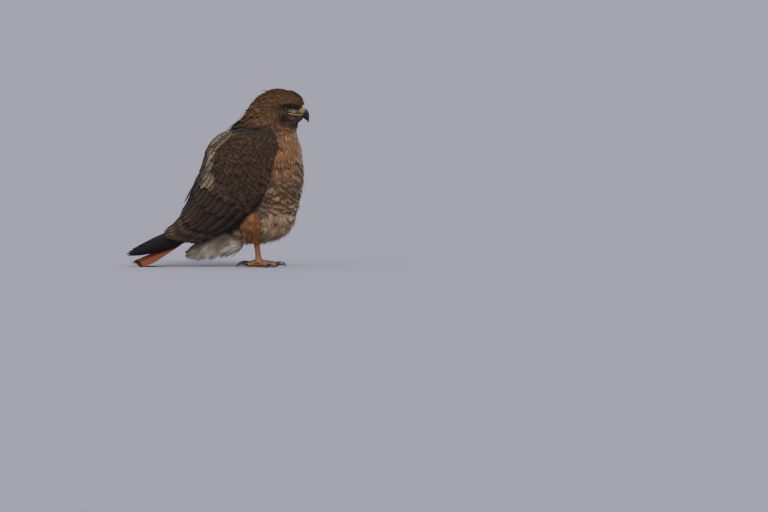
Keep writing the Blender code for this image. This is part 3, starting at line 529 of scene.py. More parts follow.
@dataclass(frozen=True)
class ContourForm:
    """A soft body feather: a rounded blade with a frayed edge of fine barbs."""

    rows: tuple = (0.0, 0.3, 0.55, 0.75, 0.9, 1.0)
    columns: tuple = (-1.0, -0.5, 0.0, 0.5, 1.0)
    outline: tuple = ((0.0, 0.35), (0.3, 0.85), (0.6, 1.0), (0.85, 0.82), (1.0, 0.42))
    barbs: tuple = (0.32, 0.46, 0.58, 0.69, 0.79, 0.88, 0.95)
    tips: tuple = (-0.34, -0.17, 0.0, 0.17, 0.34)

    def build(self) -> Form:
        """The feather's template.

        Returns:
            The form, with its barbs' ends marked as loose.
        """
        width = Curve(self.outline)
        along, across, lift, loose, faces = [], [], [], [], []

        def add(a: float, c: float, h: float = 0.0, free: float = 0.0) -> int:
            """Keep one point and give its number."""
            along.append(a)
            across.append(c)
            lift.append(h)
            loose.append(free)
            return len(along) - 1

        for a in self.rows:
            reach = float(width.one(np.float64(a)))
            for c in self.columns:
                add(a, c * reach, -0.35 * c * c * a)
        wide = len(self.columns)
        for i in range(len(self.rows) - 1):
            for j in range(wide - 1):
                corner = i * wide + j
                faces.append((corner, corner + 1, corner + wide + 1))
                faces.append((corner, corner + wide + 1, corner + wide))
        for sign in (-1.0, 1.0):
            for a in self.barbs:
                reach = float(width.one(np.float64(a)))
                start = add(a - 0.05, sign * reach * 0.86, 0.05)
                end = add(a + 0.05, sign * reach * 0.82, 0.05)
                tip = add(a + 0.17, sign * (reach + 0.16), 0.15, 1.0)
                faces.append((start, end, tip))
        for c in self.tips:
            start = add(0.93, c - 0.1, 0.05)
            end = add(0.93, c + 0.1, 0.05)
            tip = add(1.16, c * 1.3, 0.1, 1.0)
            faces.append((start, end, tip))
        return Form(*map(np.array, (along, across, lift, loose, faces)))


@dataclass(frozen=True)
class WispForm:
    """A loose tuft: fine strands that spread from one root."""

    strands: int = 13
    spread: float = 1.0
    thick: float = 0.075
    rows: tuple = (0.0, 0.35, 0.7, 1.0)

    def build(self) -> Form:
        """The tuft's template."""
        draw = np.random.default_rng(SEED)
        along, across, lift, loose, faces = [], [], [], [], []
        for k in range(self.strands):
            aim = mix(-self.spread, self.spread, k / (self.strands - 1))
            reach = draw.uniform(0.72, 1.12) * (1.0 - 0.25 * abs(aim))
            rise = draw.uniform(-0.6, 1.0)
            first = len(along)
            for row, a in enumerate(self.rows):
                half = self.thick * (1.0 - a) ** 0.6
                middle = aim * (0.25 * a + 0.75 * a * a) + 0.15 * aim
                ends = (-half, half) if row < len(self.rows) - 1 else (0.0,)
                for edge in ends:
                    along.append(a * reach)
                    across.append(middle + edge)
                    lift.append(rise * a * a)
                    loose.append(a * a)
            for row in range(len(self.rows) - 2):
                corner = first + 2 * row
                faces.append((corner, corner + 1, corner + 3))
                faces.append((corner, corner + 3, corner + 2))
            corner = first + 2 * (len(self.rows) - 2)
            faces.append((corner, corner + 1, corner + 2))
        return Form(*map(np.array, (along, across, lift, loose, faces)))


@dataclass(frozen=True)
class BladeForm:
    """A stiff feather with thickness, a raised shaft and a clean rounded or pointed tip."""

    rows: int = 13
    columns: tuple = (-1.0, -0.68, -0.34, -0.06, 0.0, 0.06, 0.34, 0.68, 1.0)
    outline: tuple = ((0.0, 0.45), (0.25, 0.8), (0.6, 1.0), (0.84, 0.9), (0.95, 0.6), (1.0, 0.18))
    shaft: float = 0.55
    splits: int = 3

    def build(self, draw: np.random.Generator) -> Form:
        """One feather's template, with a few splits along its edges.

        Args:
            draw: the source of chance for the splits.

        Returns:
            The form; points with a negative loose value are on its underside.
        """
        width = Curve(self.outline)
        share = 1.0 - (1.0 - np.linspace(0.0, 1.0, self.rows)) ** 1.35
        wide = len(self.columns)
        reach = width.one(share)
        notch = np.ones((self.rows, 2))
        for _ in range(self.splits):
            notch[draw.integers(3, self.rows - 1), draw.integers(0, 2)] = draw.uniform(0.8, 0.93)
        along, across, lift, under = [], [], [], []
        for level in (0.0, 1.0):
            for i, a in enumerate(share):
                for c in self.columns:
                    cut = notch[i, 0 if c < 0.0 else 1] if abs(c) == 1.0 else 1.0
                    along.append(a - 0.03 * c * c * ramp(0.5, 1.0, a))
                    across.append(c * reach[i] * cut)
                    lift.append(self.shaft if c == 0.0 and level == 0.0 and a < 0.97 else 0.0)
                    under.append(-level)
        faces = sheet_faces(self.rows, wide)
        return Form(*map(np.array, (along, across, lift, under, faces)))


@dataclass
class Dress:
    """The colours of feathers, one row for each: base, marks and how they are laid out."""

    base: Array
    mark: Array
    edge: Array
    bars: Array
    streak: Array

    def pattern(self) -> Array:
        """How much edge, bars and streak each feather shows."""
        return np.stack([self.edge, self.bars, self.streak], axis=-1)


@dataclass
class Coat:
    """A joined mesh of feathers, filled one batch at a time."""

    name: str
    points: list = field(default_factory=list)
    faces: list = field(default_factory=list)
    vane: list = field(default_factory=list)
    bake: list = field(default_factory=list)
    base: list = field(default_factory=list)
    mark: list = field(default_factory=list)
    pattern: list = field(default_factory=list)
    count: int = 0
    patch: float = 0.003
    ground_gap: float = 0.8

    def add(self, form: Form, points: Array, roots: Array, dress: Dress) -> None:
        """Add feathers of one form.

        Args:
            form: the template that they share.
            points: their points, feather by feather.
            roots: the place of each on the unwrap.
            dress: their colours.
        """
        many, size = points.shape[0], len(form.along)
        faces = form.faces[None] + np.arange(many)[:, None, None] * size + self.count
        half = np.clip(form.across, -1.3, 1.3) / 2.0
        spot = np.stack([np.clip(form.along, 0.0, 1.2) - 0.5, half], axis=-1) * self.patch
        vane = np.stack([form.along, half + 0.5], axis=-1)
        self.points.append(points.reshape(-1, 3))
        self.faces.append(faces.reshape(-1, 3))
        self.vane.append(np.tile(vane, (many, 1)))
        self.bake.append((roots[:, None, :] + spot[None]).reshape(-1, 2))
        for store, values in (
            (self.base, dress.base),
            (self.mark, dress.mark),
            (self.pattern, dress.pattern()),
        ):
            store.append(np.repeat(values, size, axis=0))
        self.count += many * size

    def grow(
        self,
        surface: Surface,
        form: Form,
        roots: tuple[Array, Array],
        lay: "Lay",
        dress: Dress,
        draw: np.random.Generator,
        sag: float = 0.0,
    ) -> None:
        """Lay feathers on a surface and add them.

        Args:
            surface: what they grow from.
            form: the template that they share.
            roots: the u and v of each root.
            lay: their sizes and how they stand.
            dress: their colours.
            draw: the source of chance.
            sag: how far their tips hang, though never to the ground.
        """
        shape = place_feathers(surface, form, *roots, lay, draw)
        if sag:
            hung = shape[..., 2] - sag * form.along[None] ** 2
            shape[..., 2] = np.maximum(hung, self.ground_gap)
        self.add(form, shape, surface.atlas.at(*roots), PLUMAGE.vary(dress, draw))

    def finish(self, material: bpy.types.Material, slot: str, nodes: Sequence[str]) -> None:
        """Make the mesh and hand it to the frame.

        Args:
            material: what it is made of.
            slot: not used; it is only handed on to settle.
            nodes: the CAD nodes that it stands for.
        """
        faces = np.concatenate(self.faces)
        mesh = quick_mesh(self.name, PLACE.world(np.concatenate(self.points)), faces)
        add_uv(mesh, "Vane", np.concatenate(self.vane), faces)
        add_uv(mesh, "OFBake", np.concatenate(self.bake), faces)
        for name, values in (("base", self.base), ("mark", self.mark), ("pattern", self.pattern)):
            add_colours(mesh, name, np.concatenate(values))
        mesh.materials.append(material)
        piece = bpy.data.objects.new(self.name, mesh)
        bpy.context.scene.collection.objects.link(piece)
        settle(piece, slot, nodes)


def quick_mesh(name: str, points: Array, faces: Array) -> bpy.types.Mesh:
    """A smooth mesh of triangles from arrays."""
    mesh = bpy.data.meshes.new(name)
    mesh.vertices.add(len(points))
    mesh.vertices.foreach_set("co", points.astype(np.float32).ravel())
    mesh.loops.add(len(faces) * 3)
    mesh.loops.foreach_set("vertex_index", faces.astype(np.int32).ravel())
    mesh.polygons.add(len(faces))
    mesh.polygons.foreach_set("loop_start", np.arange(0, len(faces) * 3, 3, dtype=np.int32))
    mesh.polygons.foreach_set("use_smooth", np.ones(len(faces), bool))
    mesh.update(calc_edges=True)
    return mesh


def add_uv(mesh: bpy.types.Mesh, name: str, values: Array, faces: Array) -> None:
    """Give a mesh a UV map from one value for each point."""
    layer = mesh.uv_layers.new(name=name)
    layer.data.foreach_set("uv", values[faces.ravel()].astype(np.float32).ravel())


def add_colours(mesh: bpy.types.Mesh, name: str, values: Array) -> None:
    """Give a mesh a colour attribute from one value for each point."""
    layer = mesh.color_attributes.new(name=name, type="FLOAT_COLOR", domain="POINT")
    full = np.concatenate([values, np.ones((len(values), 1))], axis=1)
    layer.data.foreach_set("color", full.astype(np.float32).ravel())


def settle(piece: bpy.types.Object, slot: str, nodes: Sequence[str]) -> None:
    """Hand a finished piece to the frame.

    Args:
        piece: the piece, in place.
        slot: not used.
        nodes: the CAD nodes that it stands for.
    """
    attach(piece, "root")
    if nodes:
        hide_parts(*nodes)
    count = sum(len(face.vertices) - 2 for face in piece.data.polygons)
    LOG.info("%s: %d triangles", piece.name, count)


@dataclass
class Lay:
    """How a batch of small feathers lies: arrays with one value for each feather."""

    length: Array
    width: Array
    root: Array
    tip: Array
    yaw: Array
    roll: Array
    camber: Array
    stray: float = 0.1


@dataclass(frozen=True)
class Growth:
    """The sizes of a batch of small feathers, most of them ranges, and how much they vary."""

    length: tuple[float, float]
    width: tuple[float, float]
    root: float
    tip: tuple[float, float]
    yaw: float
    roll: float
    camber: float | tuple[float, float]
    stray: float

    def lay(self, many: int, draw: np.random.Generator) -> Lay:
        """Draw the sizes of each feather."""
        length, width = (draw.uniform(*span, many) for span in (self.length, self.width))
        tip = draw.uniform(*self.tip, many)
        yaw, roll = (draw.normal(0.0, spread, many) for spread in (self.yaw, self.roll))
        if isinstance(self.camber, tuple):
            camber = draw.uniform(*self.camber, many)
        else:
            camber = np.full(many, self.camber)
        return Lay(length, width, np.full(many, self.root), tip, yaw, roll, camber, self.stray)


def place_feathers(
    surface: Surface, form: Form, u: Array, v: Array, lay: Lay, draw: np.random.Generator
) -> Array:
    """Lay a batch of feathers along a surface.

    Args:
        surface: what they grow from.
        form: their template.
        u: where they are rooted along the surface.
        v: where they are rooted across it.
        lay: their sizes and how they stand.
        draw: the source of chance for loose barbs.

    Returns:
        Their points, feather by feather.
    """
    along, across = surface.slopes(u, v)
    along = np.maximum(np.linalg.norm(along, axis=-1), 1.0)[:, None]
    across = np.maximum(np.linalg.norm(across, axis=-1), 1.0)[:, None]
    size = (len(u), len(form.along))
    a = form.along[None] + form.loose[None] * draw.normal(0.0, lay.stray, size)
    c = form.across[None] + form.loose[None] * draw.normal(0.0, lay.stray * 1.3, size)
    dx = a * lay.length[:, None]
    dy = c * lay.width[:, None] / 2.0
    turned_x = dx * np.cos(lay.yaw)[:, None] - dy * np.sin(lay.yaw)[:, None]
    turned_y = dx * np.sin(lay.yaw)[:, None] + dy * np.cos(lay.yaw)[:, None]
    height = mix(lay.root[:, None], lay.tip[:, None], np.clip(a, 0.0, 1.2))
    height = height + form.lift[None] * lay.camber[:, None] + lay.roll[:, None] * dy
    return surface.point(u[:, None] + turned_x / along, v[:, None] + turned_y / across, height)


def scatter(
    surface: Surface,
    spans: tuple[tuple[float, float], tuple[float, float]],
    gaps: Callable[[float], tuple[float, float]],
    draw: np.random.Generator,
) -> tuple[Array, Array]:
    """Roots in staggered rows over part of a surface, evenly spaced in millimetres.

    Args:
        surface: the surface.
        spans: the range of u and the range of v.
        gaps: for a place along u, the distance between rows and within a row.
        draw: the source of chance.

    Returns:
        The u and v of each root, from the last row to the first, so early rows lie on top.
    """
    (u_low, u_high), (v_low, v_high) = spans
    angles = np.linspace(v_low, v_high, 65)
    rows_u, rows_v = [], []
    u = u_low
    while u < u_high:
        here = np.full_like(angles, u)
        speed = np.linalg.norm(surface.slopes(here, angles)[0], axis=-1)
        row_gap, side_gap = gaps(u)
        step = row_gap / max(float(np.percentile(speed, 70)), 0.05)
        steps = np.linalg.norm(np.diff(surface.base(here, angles), axis=0), axis=-1)
        walked = np.concatenate([[0.0], np.cumsum(steps)])
        many = max(int(walked[-1] / side_gap), 3)
        stops = (np.arange(many) + draw.uniform(0.0, 1.0)) / many * walked[-1]
        stops = stops + draw.normal(0.0, side_gap * 0.14, many)
        v = np.interp(stops, walked, angles)
        keep = draw.uniform(0.0, 1.0, many) < np.interp(v, angles, speed) * step / row_gap
        rows_v.append(v[keep])
        rows_u.append(u + draw.normal(0.0, 0.16 * step, many)[keep])
        u += step
    u = np.clip(np.concatenate(rows_u[::-1]), u_low, u_high)
    return u, np.concatenate(rows_v[::-1])


class Tint:
    """The bird's colours as they are seen, in linear light."""

    CROWN = linear(96, 68, 43)
    NAPE = linear(104, 74, 49)
    NECK = linear(56, 46, 38)
    DARK = linear(42, 32, 27)
    CHEEK = linear(44, 34, 30)
    LORE = linear(176, 170, 152)
    CHIN = linear(48, 44, 44)
    BUFF = linear(146, 107, 73)
    STREAK = linear(92, 60, 40)
    CREAM = linear(186, 172, 146)
    BROWN = linear(76, 51, 35)
    GREY = linear(140, 124, 108)
    MANTLE = linear(64, 49, 40)
    WING = linear(51, 37, 28)
    WING_EDGE = linear(116, 90, 65)
    WING_DARK = linear(33, 26, 22)
    SCAPULAR = linear(168, 146, 118)
    PRIMARY = linear(26, 23, 24)
    RUFOUS = linear(128, 70, 42)
    BAND = linear(46, 30, 24)
    TROUSER = linear(146, 95, 56)
    TROUSER_BAR = linear(108, 67, 40)
    VENT = linear(208, 192, 160)
    WHITE = linear(220, 212, 188)


def paint(values: Array, colour: Sequence[float], amount: Array) -> Array:
    """Colours moved towards one colour by an amount for each row."""
    return mix(values, np.array(colour)[None], np.clip(amount, 0.0, 1.0)[:, None])


def plain_dress(many: int, base: Sequence[float], mark: Sequence[float]) -> Dress:
    """Unmarked feathers of one colour."""
    none = np.zeros(many)
    return Dress(np.tile(base, (many, 1)), np.tile(mark, (many, 1)), none, none.copy(), none.copy())


@dataclass(frozen=True)
class Spot:
    """A patch of colour on the face in the side view."""

    colour: tuple[float, float, float]
    strength: float
    centre: tuple[float, float]
    spread: tuple[float, float]


@dataclass(frozen=True)
class Plumage:
    """The colours of feathers and skin by where they are."""

    shade: float = 0.15
    face: tuple[Spot, ...] = (
        Spot(Tint.CHEEK, 1.15, (47.0, 290.5), (9.5, 10.0)),
        # painted shade: a dark band under the brow ridge, over the eye
        Spot(Tint.DARK, 1.2, (62.0, 307.5), (28.0, 3.8)),
        Spot(Tint.LORE, 1.3, (66.0, 298.0), (9.5, 4.8)),
        Spot(Tint.CHIN, 1.3, (72.0, 276.0), (15.0, 10.0)),
    )

    def vary(self, dress: Dress, draw: np.random.Generator) -> Dress:
        """Give each feather its own slight shade."""
        gain = np.exp(draw.normal(0.0, self.shade, len(dress.base)))[:, None]
        dress.base = dress.base * gain
        dress.mark = dress.mark * gain
        return dress

    def body(self, v: Array, points: Array) -> Dress:
        """Head, neck, breast, belly and back.

        Args:
            v: the angle round the body, 0 in front.
            points: where the feathers are.

        Returns:
            Their colours.
        """
        x, z = points[:, 0], points[:, 2]
        front = 1.0 - ramp(0.0, 1.0, np.abs(v))
        dress = plain_dress(len(x), Tint.NAPE, Tint.DARK)
        dress.streak += 0.45
        base = dress.base
        base = paint(base, Tint.CROWN, ramp(308.0, 322.0, z + 0.25 * x))
        base = paint(base, Tint.NECK, ramp(288.0, 274.0, z + 0.12 * x) * ramp(40.0, 24.0, x))
        for spot in self.face:
            amount = spot.strength * bump(x, z, spot.centre, spot.spread)
            base = paint(base, spot.colour, amount)
        breast = ramp(272.0, 254.0, z - 0.1 * x) * ramp(18.0, 34.0, x + 0.12 * (235.0 - z))
        base = paint(base, Tint.BUFF, breast)
        dress.mark = paint(dress.mark, Tint.STREAK, breast)
        # painted highlight: the front of the breast is made paler with cream where the light falls
        base = paint(base, Tint.CREAM, breast * front**2 * 0.75)
        belly = ramp(222.0, 172.0, z) * ramp(-30.0, 4.0, x)
        low = ramp(86.0, 64.0, z + 0.1 * x) * ramp(-60.0, -10.0, x)
        base = paint(base, Tint.CREAM, belly * 0.22)
        base = paint(base, Tint.BROWN, 0.4 * ramp(232.0, 196.0, z) * ramp(130.0, 160.0, z) * breast)
        dress.mark = paint(dress.mark, Tint.BROWN, belly)
        dress.bars = 0.8 * belly * (1.0 - 0.6 * low)
        dress.streak = np.clip(0.45 + 0.5 * breast, 0.0, 1.0) * (1.0 - belly)
        patch = bump(x, z, (-1.0, 116.0), (11.0, 24.0))
        base = paint(base, Tint.GREY, patch)
        dress.bars = dress.bars * (1.0 - patch)
        base = paint(base, Tint.VENT, low * 0.45)
        back = ramp(266.0, 240.0, z + 0.5 * x) * ramp(10.0, -14.0, x)
        base = paint(base, Tint.MANTLE, back)
        dress.mark = paint(dress.mark, Tint.WING_EDGE, back)
        dress.edge = back * 0.7
        dress.streak = dress.streak * (1.0 - back)
        dress.base = base
        return dress

    def wing(self, s: Array, angle: Array) -> Dress:
        """Coverts and scapulars by distance along the wing and angle round it."""
        degrees = np.degrees(angle)
        dress = plain_dress(len(s), Tint.WING, Tint.WING_EDGE)
        # painted shade: the lower part of the wing towards its back is darkened and its pale edges
        # dimmed
        dark = ramp(-2.0, -22.0, degrees) * ramp(40.0, 90.0, s)
        dress.base = paint(dress.base, Tint.WING_DARK, dark)
        dress.edge = (0.2 + 0.55 * ramp(30.0, 95.0, s)) * (1.0 - 0.7 * dark)
        line = np.interp(s, [8.0, 101.0], [75.0, 41.0])
        band = np.exp(-(((degrees - line) / 13.0) ** 2))
        band = band * ramp(-12.0, 12.0, s) * ramp(122.0, 100.0, s)
        patchy = 0.65 + 0.35 * np.sin(1.7 * s + 0.9 * degrees)
        dress.base = paint(dress.base, Tint.SCAPULAR, 0.85 * band * patchy)
        dress.mark = paint(dress.mark, Tint.MANTLE, band)
        dress.bars = 0.5 * band
        dress.streak = 0.3 * (1.0 - band)
        dress.edge = dress.edge * (1.0 - band)
        beside = np.exp(-(((degrees - line + 27.0) / 7.0) ** 2))
        beside = beside * ramp(0.0, 30.0, s) * ramp(130.0, 110.0, s)
        dress.base = paint(dress.base, Tint.WING_DARK, 0.7 * beside)
        return dress


PLUMAGE = Plumage()
CONTOUR = ContourForm().build()
WISP = WispForm().build()


@dataclass(frozen=True)
class Gaps:
    """Distances between small feathers along the body, in rows of place, row gap, side gap."""

    rows: tuple

    def at(self, u: float) -> tuple[float, float]:
        """The two distances at a place."""
        return tuple(Curve(self.rows).at(np.float64(u)))


@dataclass
class BodyCoat:
    """The small feathers of head, neck and trunk."""

    surface: BodySurface
    gaps: Gaps = Gaps(
        (
            (0.0, 2.6, 2.2),
            (3.0, 2.8, 2.4),
            (6.0, 4.2, 3.6),
            (9.0, 6.4, 5.6),
            (12.0, 8.0, 7.2),
            (20.0, 8.0, 7.2),
        )
    )
    sizes: Curve = field(
        default_factory=lambda: Curve(
            [
                (0.0, 7.0, 3.6),
                (2.5, 8.0, 4.2),
                (5.0, 13.0, 6.0),
                (8.0, 20.0, 9.5),
                (11.0, 26.0, 14.5),
                (20.0, 28.0, 16.0),
            ]
        )
    )
    depth: float = 3.0
    eye_spot: tuple[float, float] = (47.7, 302.2)
    eye_stretch: tuple[float, float] = (1.12, 0.86)
    eye_radius: float = 5.0
    bill_boxes: tuple = ((64.0, 288.0, 304.6, 12.0), (74.0, 272.0, 289.0, 9.0))
    gape_span: tuple[float, float] = (50.5, 76.0)
    gape_line: tuple = ((50.0, 78.0), (291.2, 287.8))
    gape_half: float = 1.1
    tufts: Growth = Growth(
        length=(17.0, 28.0), width=(13.0, 20.0), root=-2.0, tip=(4.0, 10.0),
        yaw=0.2, roll=0.1, camber=(1.0, 3.5), stray=0.06,
    )
    sag: float = 2.5

    def bare(self, shape: Array, u: Array) -> Array:
        """Which feathers would lie over the eyes, the cere or the corner of the mouth."""
        x, y, z = np.moveaxis(shape, -1, 0)
        from_eye = [(a - b) / c for a, b, c in zip((x, z), self.eye_spot, self.eye_stretch)]
        hidden = np.hypot(*from_eye) < self.eye_radius
        for least_x, low, high, half in self.bill_boxes:
            hidden |= (x > least_x) & (z > low) & (z < high) & (np.abs(y) < half)
        beside = (x > self.gape_span[0]) & (x < self.gape_span[1])
        hidden |= beside & (np.abs(z - np.interp(x, *self.gape_line)) < self.gape_half)
        return np.any(hidden, axis=1) & (u < self.surface.face_end)

    def face(self, points: Array) -> Array:
        """How far each root belongs to the short feathers of the face."""
        x, _, z = np.moveaxis(points, -1, 0)
        return ramp(18.0, 2.0, np.hypot(x - 58.0, (z - 296.0) * 1.1))

    def build(self) -> list[Coat]:
        """Grow every feather and part them into pieces by place."""
        draw = np.random.default_rng(SEED)
        u, v = scatter(self.surface, ((0.15, 19.6), (-math.pi, math.pi)), self.gaps.at, draw)
        points = self.surface.base(u, v)
        keep = self.under_wing(u, points) < draw.uniform(0.0, 1.0, len(u))
        u, v, points = u[keep], v[keep], points[keep]
        length, width = np.moveaxis(self.sizes.at(u), -1, 0)
        face = self.face(points)
        length = length * (1.0 - 0.55 * face) * draw.uniform(0.85, 1.15, len(u))
        width = width * (1.0 - 0.45 * face) * draw.uniform(0.85, 1.15, len(u))
        depth = np.interp(u, [0.0, 4.0, 9.0], [1.2, 1.6, self.depth]) * (1.0 - 0.4 * face)
        lift = np.interp(u, [0.0, 5.0, 10.0, 20.0], [0.5, 0.8, 1.4, 1.7])
        lift = lift + 1.6 * ramp(1.9, 2.6, np.abs(v)) * ramp(1.6, 3.0, u) * ramp(9.0, 7.0, u)
        ruffle = draw.uniform(0.2, 1.5, len(u))
        ruffle += 2.2 * draw.uniform(0.0, 1.0, len(u)) ** 9
        lay = Lay(
            length=length,
            width=width,
            root=-depth,
            tip=lift * ruffle,
            yaw=draw.normal(0.0, 0.1, len(u)),
            roll=draw.normal(0.03, 0.05, len(u)),
            camber=np.full(len(u), 0.9),
        )
        dress = PLUMAGE.vary(PLUMAGE.body(v, points), draw)
        shape = place_feathers(self.surface, CONTOUR, u, v, lay, draw)
        roots = self.surface.atlas.at(u, v)
        clear = ~self.bare(shape, u)
        parts = (
            ("coat_head", u < 5.4),
            ("coat_neck", (u >= 5.4) & (u < 8.9)),
            ("coat_breast", (u >= 8.9) & (u < 13.0)),
            ("coat_belly", u >= 13.0),
        )
        coats = []
        for name, mask in parts:
            mask = mask & clear
            coat = Coat(name)
            some = Dress(*(getattr(dress, part)[mask] for part in DRESS_PARTS))
            coat.add(CONTOUR, shape[mask], roots[mask], some)
            coats.append(coat)
        self.add_wisps(coats[-1], draw)
        return coats

    def under_wing(self, u: Array, points: Array) -> Array:
        """How likely a root is hidden under a folded wing, so that it needs no feather."""
        s, off = unfold(points)
        low = np.interp(s, [-75.0, 20.0, 92.0, 130.0], [-27.0, -27.0, -33.0, -33.0])
        rise = np.degrees(np.arctan2(off - 8.0, np.abs(points[:, 1]) + 1.0))
        covered = (s > -48.0) & (rise > low + 16.0) & (np.abs(points[:, 1]) > 12.0) & (u > 7.0)
        return np.where(covered, 0.92, 0.0)

    def add_wisps(self, coat: Coat, draw: np.random.Generator) -> None:
        """Loose tufts along the lower belly."""
        below = ((14.2, 17.6), (-1.25, 1.25))
        u, v = scatter(self.surface, below, lambda _: (6.0, 6.5), draw)
        lay = self.tufts.lay(len(u), draw)
        dress = plain_dress(len(u), Tint.VENT, Tint.BUFF)
        dress.base = paint(dress.base, Tint.BUFF, draw.uniform(0.2, 1.0, len(u)))
        coat.grow(self.surface, WISP, (u, v), lay, dress, draw, self.sag)


DRESS_PARTS = ("base", "mark", "edge", "bars", "streak")


def unfold(points: Array) -> tuple[Array, Array]:
    """Distance along the straight start of the fold line and height above it."""
    x = points[:, 0] - FOLD.start[0]
    z = points[:, 2] - FOLD.start[1]
    s = -x * math.cos(FOLD.slope) - z * math.sin(FOLD.slope)
    return s, -x * math.sin(FOLD.slope) + z * math.cos(FOLD.slope)


@dataclass(frozen=True)
class Tier:
    """One tier of stiff wing feathers."""

    name: str
    count: int
    span: tuple[float, float]
    past: tuple
    length: float
    levels: tuple[float, float]
    width: float


@dataclass
class Wing:
    """One folded wing: primaries, tiers of blades, scapulars and small coverts."""

    side: Side
    tips: tuple = (302.0, 303.0, 299.0, 291.0, 278.0, 260.0)
    primary_root: float = 110.0
    primary_width: float = 15.0
    primary_shift: float = 4.6
    primary_step: float = 0.75
    primary_level: Curve = field(
        default_factory=lambda: Curve(
            [(110.0, -11.0), (150.0, -7.5), (186.0, -4.6), (219.0, -3.6), (303.0, 0.0)]
        )
    )
    low_edge: Curve = field(
        default_factory=lambda: Curve(
            [
                (-75.0, -27.0),
                (-33.0, -25.0),
                (20.0, -27.0),
                (57.0, -31.0),
                (92.0, -33.0),
                (170.0, -33.0),
                (200.0, -28.0),
                (220.0, -27.0),
                (242.0, -28.0),
                (270.0, -30.0),
                (303.0, -32.0),
            ]
        )
    )
    reach: Curve = field(
        default_factory=lambda: Curve(
            [(-40, 128), (-22, 143), (-8, 158), (6, 167), (30, 172), (58, 172), (90, 164)]
        )
    )
    tiers: tuple = (
        Tier("secondaries", 9, (-30, 77), ((-33, 52), (6, 46), (35, 47), (80, 42)), 122, (-9, -1), 22),
        Tier("greater", 10, (-30, 80), ((-33, 0), (80, 0)), 84, (-5.2, 0.0), 21),
        Tier("median", 10, (-27, 60), ((-33, -44), (80, -44)), 58, (-3.4, 0.5), 19),
        Tier("lesser", 10, (-25, 55), ((-33, -76), (80, -74)), 46, (-2.8, 0.7), 17),
    )
    roll: float = 0.09
    thick: float = 0.45
    low_angle: float = -31.0
    front_round: float = 34.0
    scapular_ends: tuple = (108.0, 88.0, 68.0, 48.0, 28.0)
    scapular_size: tuple[float, float] = (52.0, 20.0)
    covert_front: tuple[float, float] = (-74.0, -46.0)
    covert_fall: float = 12.0
    covert_size: tuple[float, float] = (24.0, 16.5)
    core_front: tuple[float, float] = (-70.0, -43.0)
    core_fall: float = 14.0
    core_grid: tuple[int, int] = (40, 26)
    core_steps: Curve = field(
        default_factory=lambda: Curve(
            [(-170, 0.8), (-125, -0.2), (-80, -2.6), (-40, -6.0), (-10, -9.0), (5, -11.0)]
        )
    )

    def __post_init__(self) -> None:
        """Make the wing's surface."""
        self.surface = WingSurface(side=self.side)
        self.draw = np.random.default_rng(SEED + self.side.value)

    def blade(
        self,
        coat: Coat,
        form: Form,
        place: Callable[[Array, Array, Array], Array],
        root: tuple[float, float],
        dress: Dress,
        width: float,
    ) -> None:
        """Add one stiff feather.

        Args:
            coat: the mesh to add it to.
            form: its template.
            place: the point for shares along, millimetres across and above.
            root: where it is rooted, for the unwrap.
            dress: its colours.
            width: its widest.
        """
        height = form.lift * 0.6 + np.where(form.loose < 0.0, -self.thick, 0.0)
        points = place(form.along, form.across * width / 2.0, height)
        coat.add(form, points[None], self.surface.atlas.at(*root)[None], dress)

    def primary(self, k: int, tip: float) -> Callable[[Array, Array, Array], Array]:
        """How one primary lies, k counted from the wing's lower edge."""
        start = self.primary_root + 4.0 * k
        depth = self.primary_step * (len(self.tips) - 1 - k)

        def place(a: Array, y: Array, h: Array) -> Array:
            """A point of the feather."""
            s = mix(start, tip, a)
            angle = np.radians(self.low_edge.one(s))
            height = self.primary_level.one(s) - depth + h
            across = self.primary_width / 2.0 + self.primary_shift * k + y
            angle = angle + across / self.surface.radius(s, angle, height)
            return self.surface.point(s, angle, height)

        return place

    def laid(
        self, root: tuple, tip: tuple, levels: tuple, roll: float
    ) -> Callable[[Array, Array, Array], Array]:
        """How a feather lies between two places of distance and degrees."""

        def place(a: Array, y: Array, h: Array) -> Array:
            """A point of the feather."""
            s = mix(root[0], tip[0], a)
            angle = np.radians(mix(root[1], tip[1], a))
            height = mix(levels[0], levels[1], a) - y * roll + h
            angle = angle + y / self.surface.radius(s, angle, height)
            return self.surface.point(s, angle, height)

        return place

    def flight(self) -> Coat:
        """Primaries, secondaries, the tiers of coverts over them, and scapulars."""
        coat = Coat("flight_" + self.side.word)
        draw = self.draw
        for k, tip in enumerate(self.tips):
            form = BladeForm(outline=POINTED, splits=1).build(draw)
            dress = plain_dress(1, Tint.PRIMARY, Tint.WING_EDGE)
            dress.edge += 0.12
            place = self.primary(k, tip + draw.uniform(-1.0, 1.0))
            root = (self.primary_root, math.radians(-30.0 + 4.0 * k))
            self.blade(coat, form, place, root, dress, self.primary_width)
        for tier in self.tiers:
            past = Curve(tier.past)
            for k in range(tier.count):
                angle = mix(tier.span[0], tier.span[1], k / (tier.count - 1))
                angle += draw.uniform(-1.0, 1.0)
                end = float(self.reach.one(np.float64(angle)) + past.one(np.float64(angle)))
                end += draw.uniform(-2.5, 2.5)
                place = self.laid((end - tier.length, angle), (end, angle), tier.levels, self.roll)
                form = BladeForm(rows=12 if tier.length > 60 else 9).build(draw)
                radians = math.radians(angle)
                dress = PLUMAGE.wing(np.array([end]), np.array([radians]))
                if tier.name == "secondaries":
                    dress.bars = dress.bars * 0.0 + 0.3
                    dress.mark = paint(dress.mark, Tint.WING_EDGE, np.ones(1))
                    dress.base = paint(dress.base, Tint.WING, np.full(1, 0.7))
                dress = PLUMAGE.vary(dress, draw)
                width = tier.width * draw.uniform(0.94, 1.08)
                self.blade(coat, form, place, (end - tier.length, radians), dress, width)
        self.scapulars(coat)
        place = self.laid((96.0, 70.0), (152.0, 76.0), (-1.0, 4.5), 0.0)
        form = BladeForm(outline=POINTED).build(draw)
        dress = plain_dress(1, Tint.WING_DARK, Tint.WING_EDGE)
        self.blade(coat, form, place, (96.0, 1.2), dress, 13.0)
        return coat

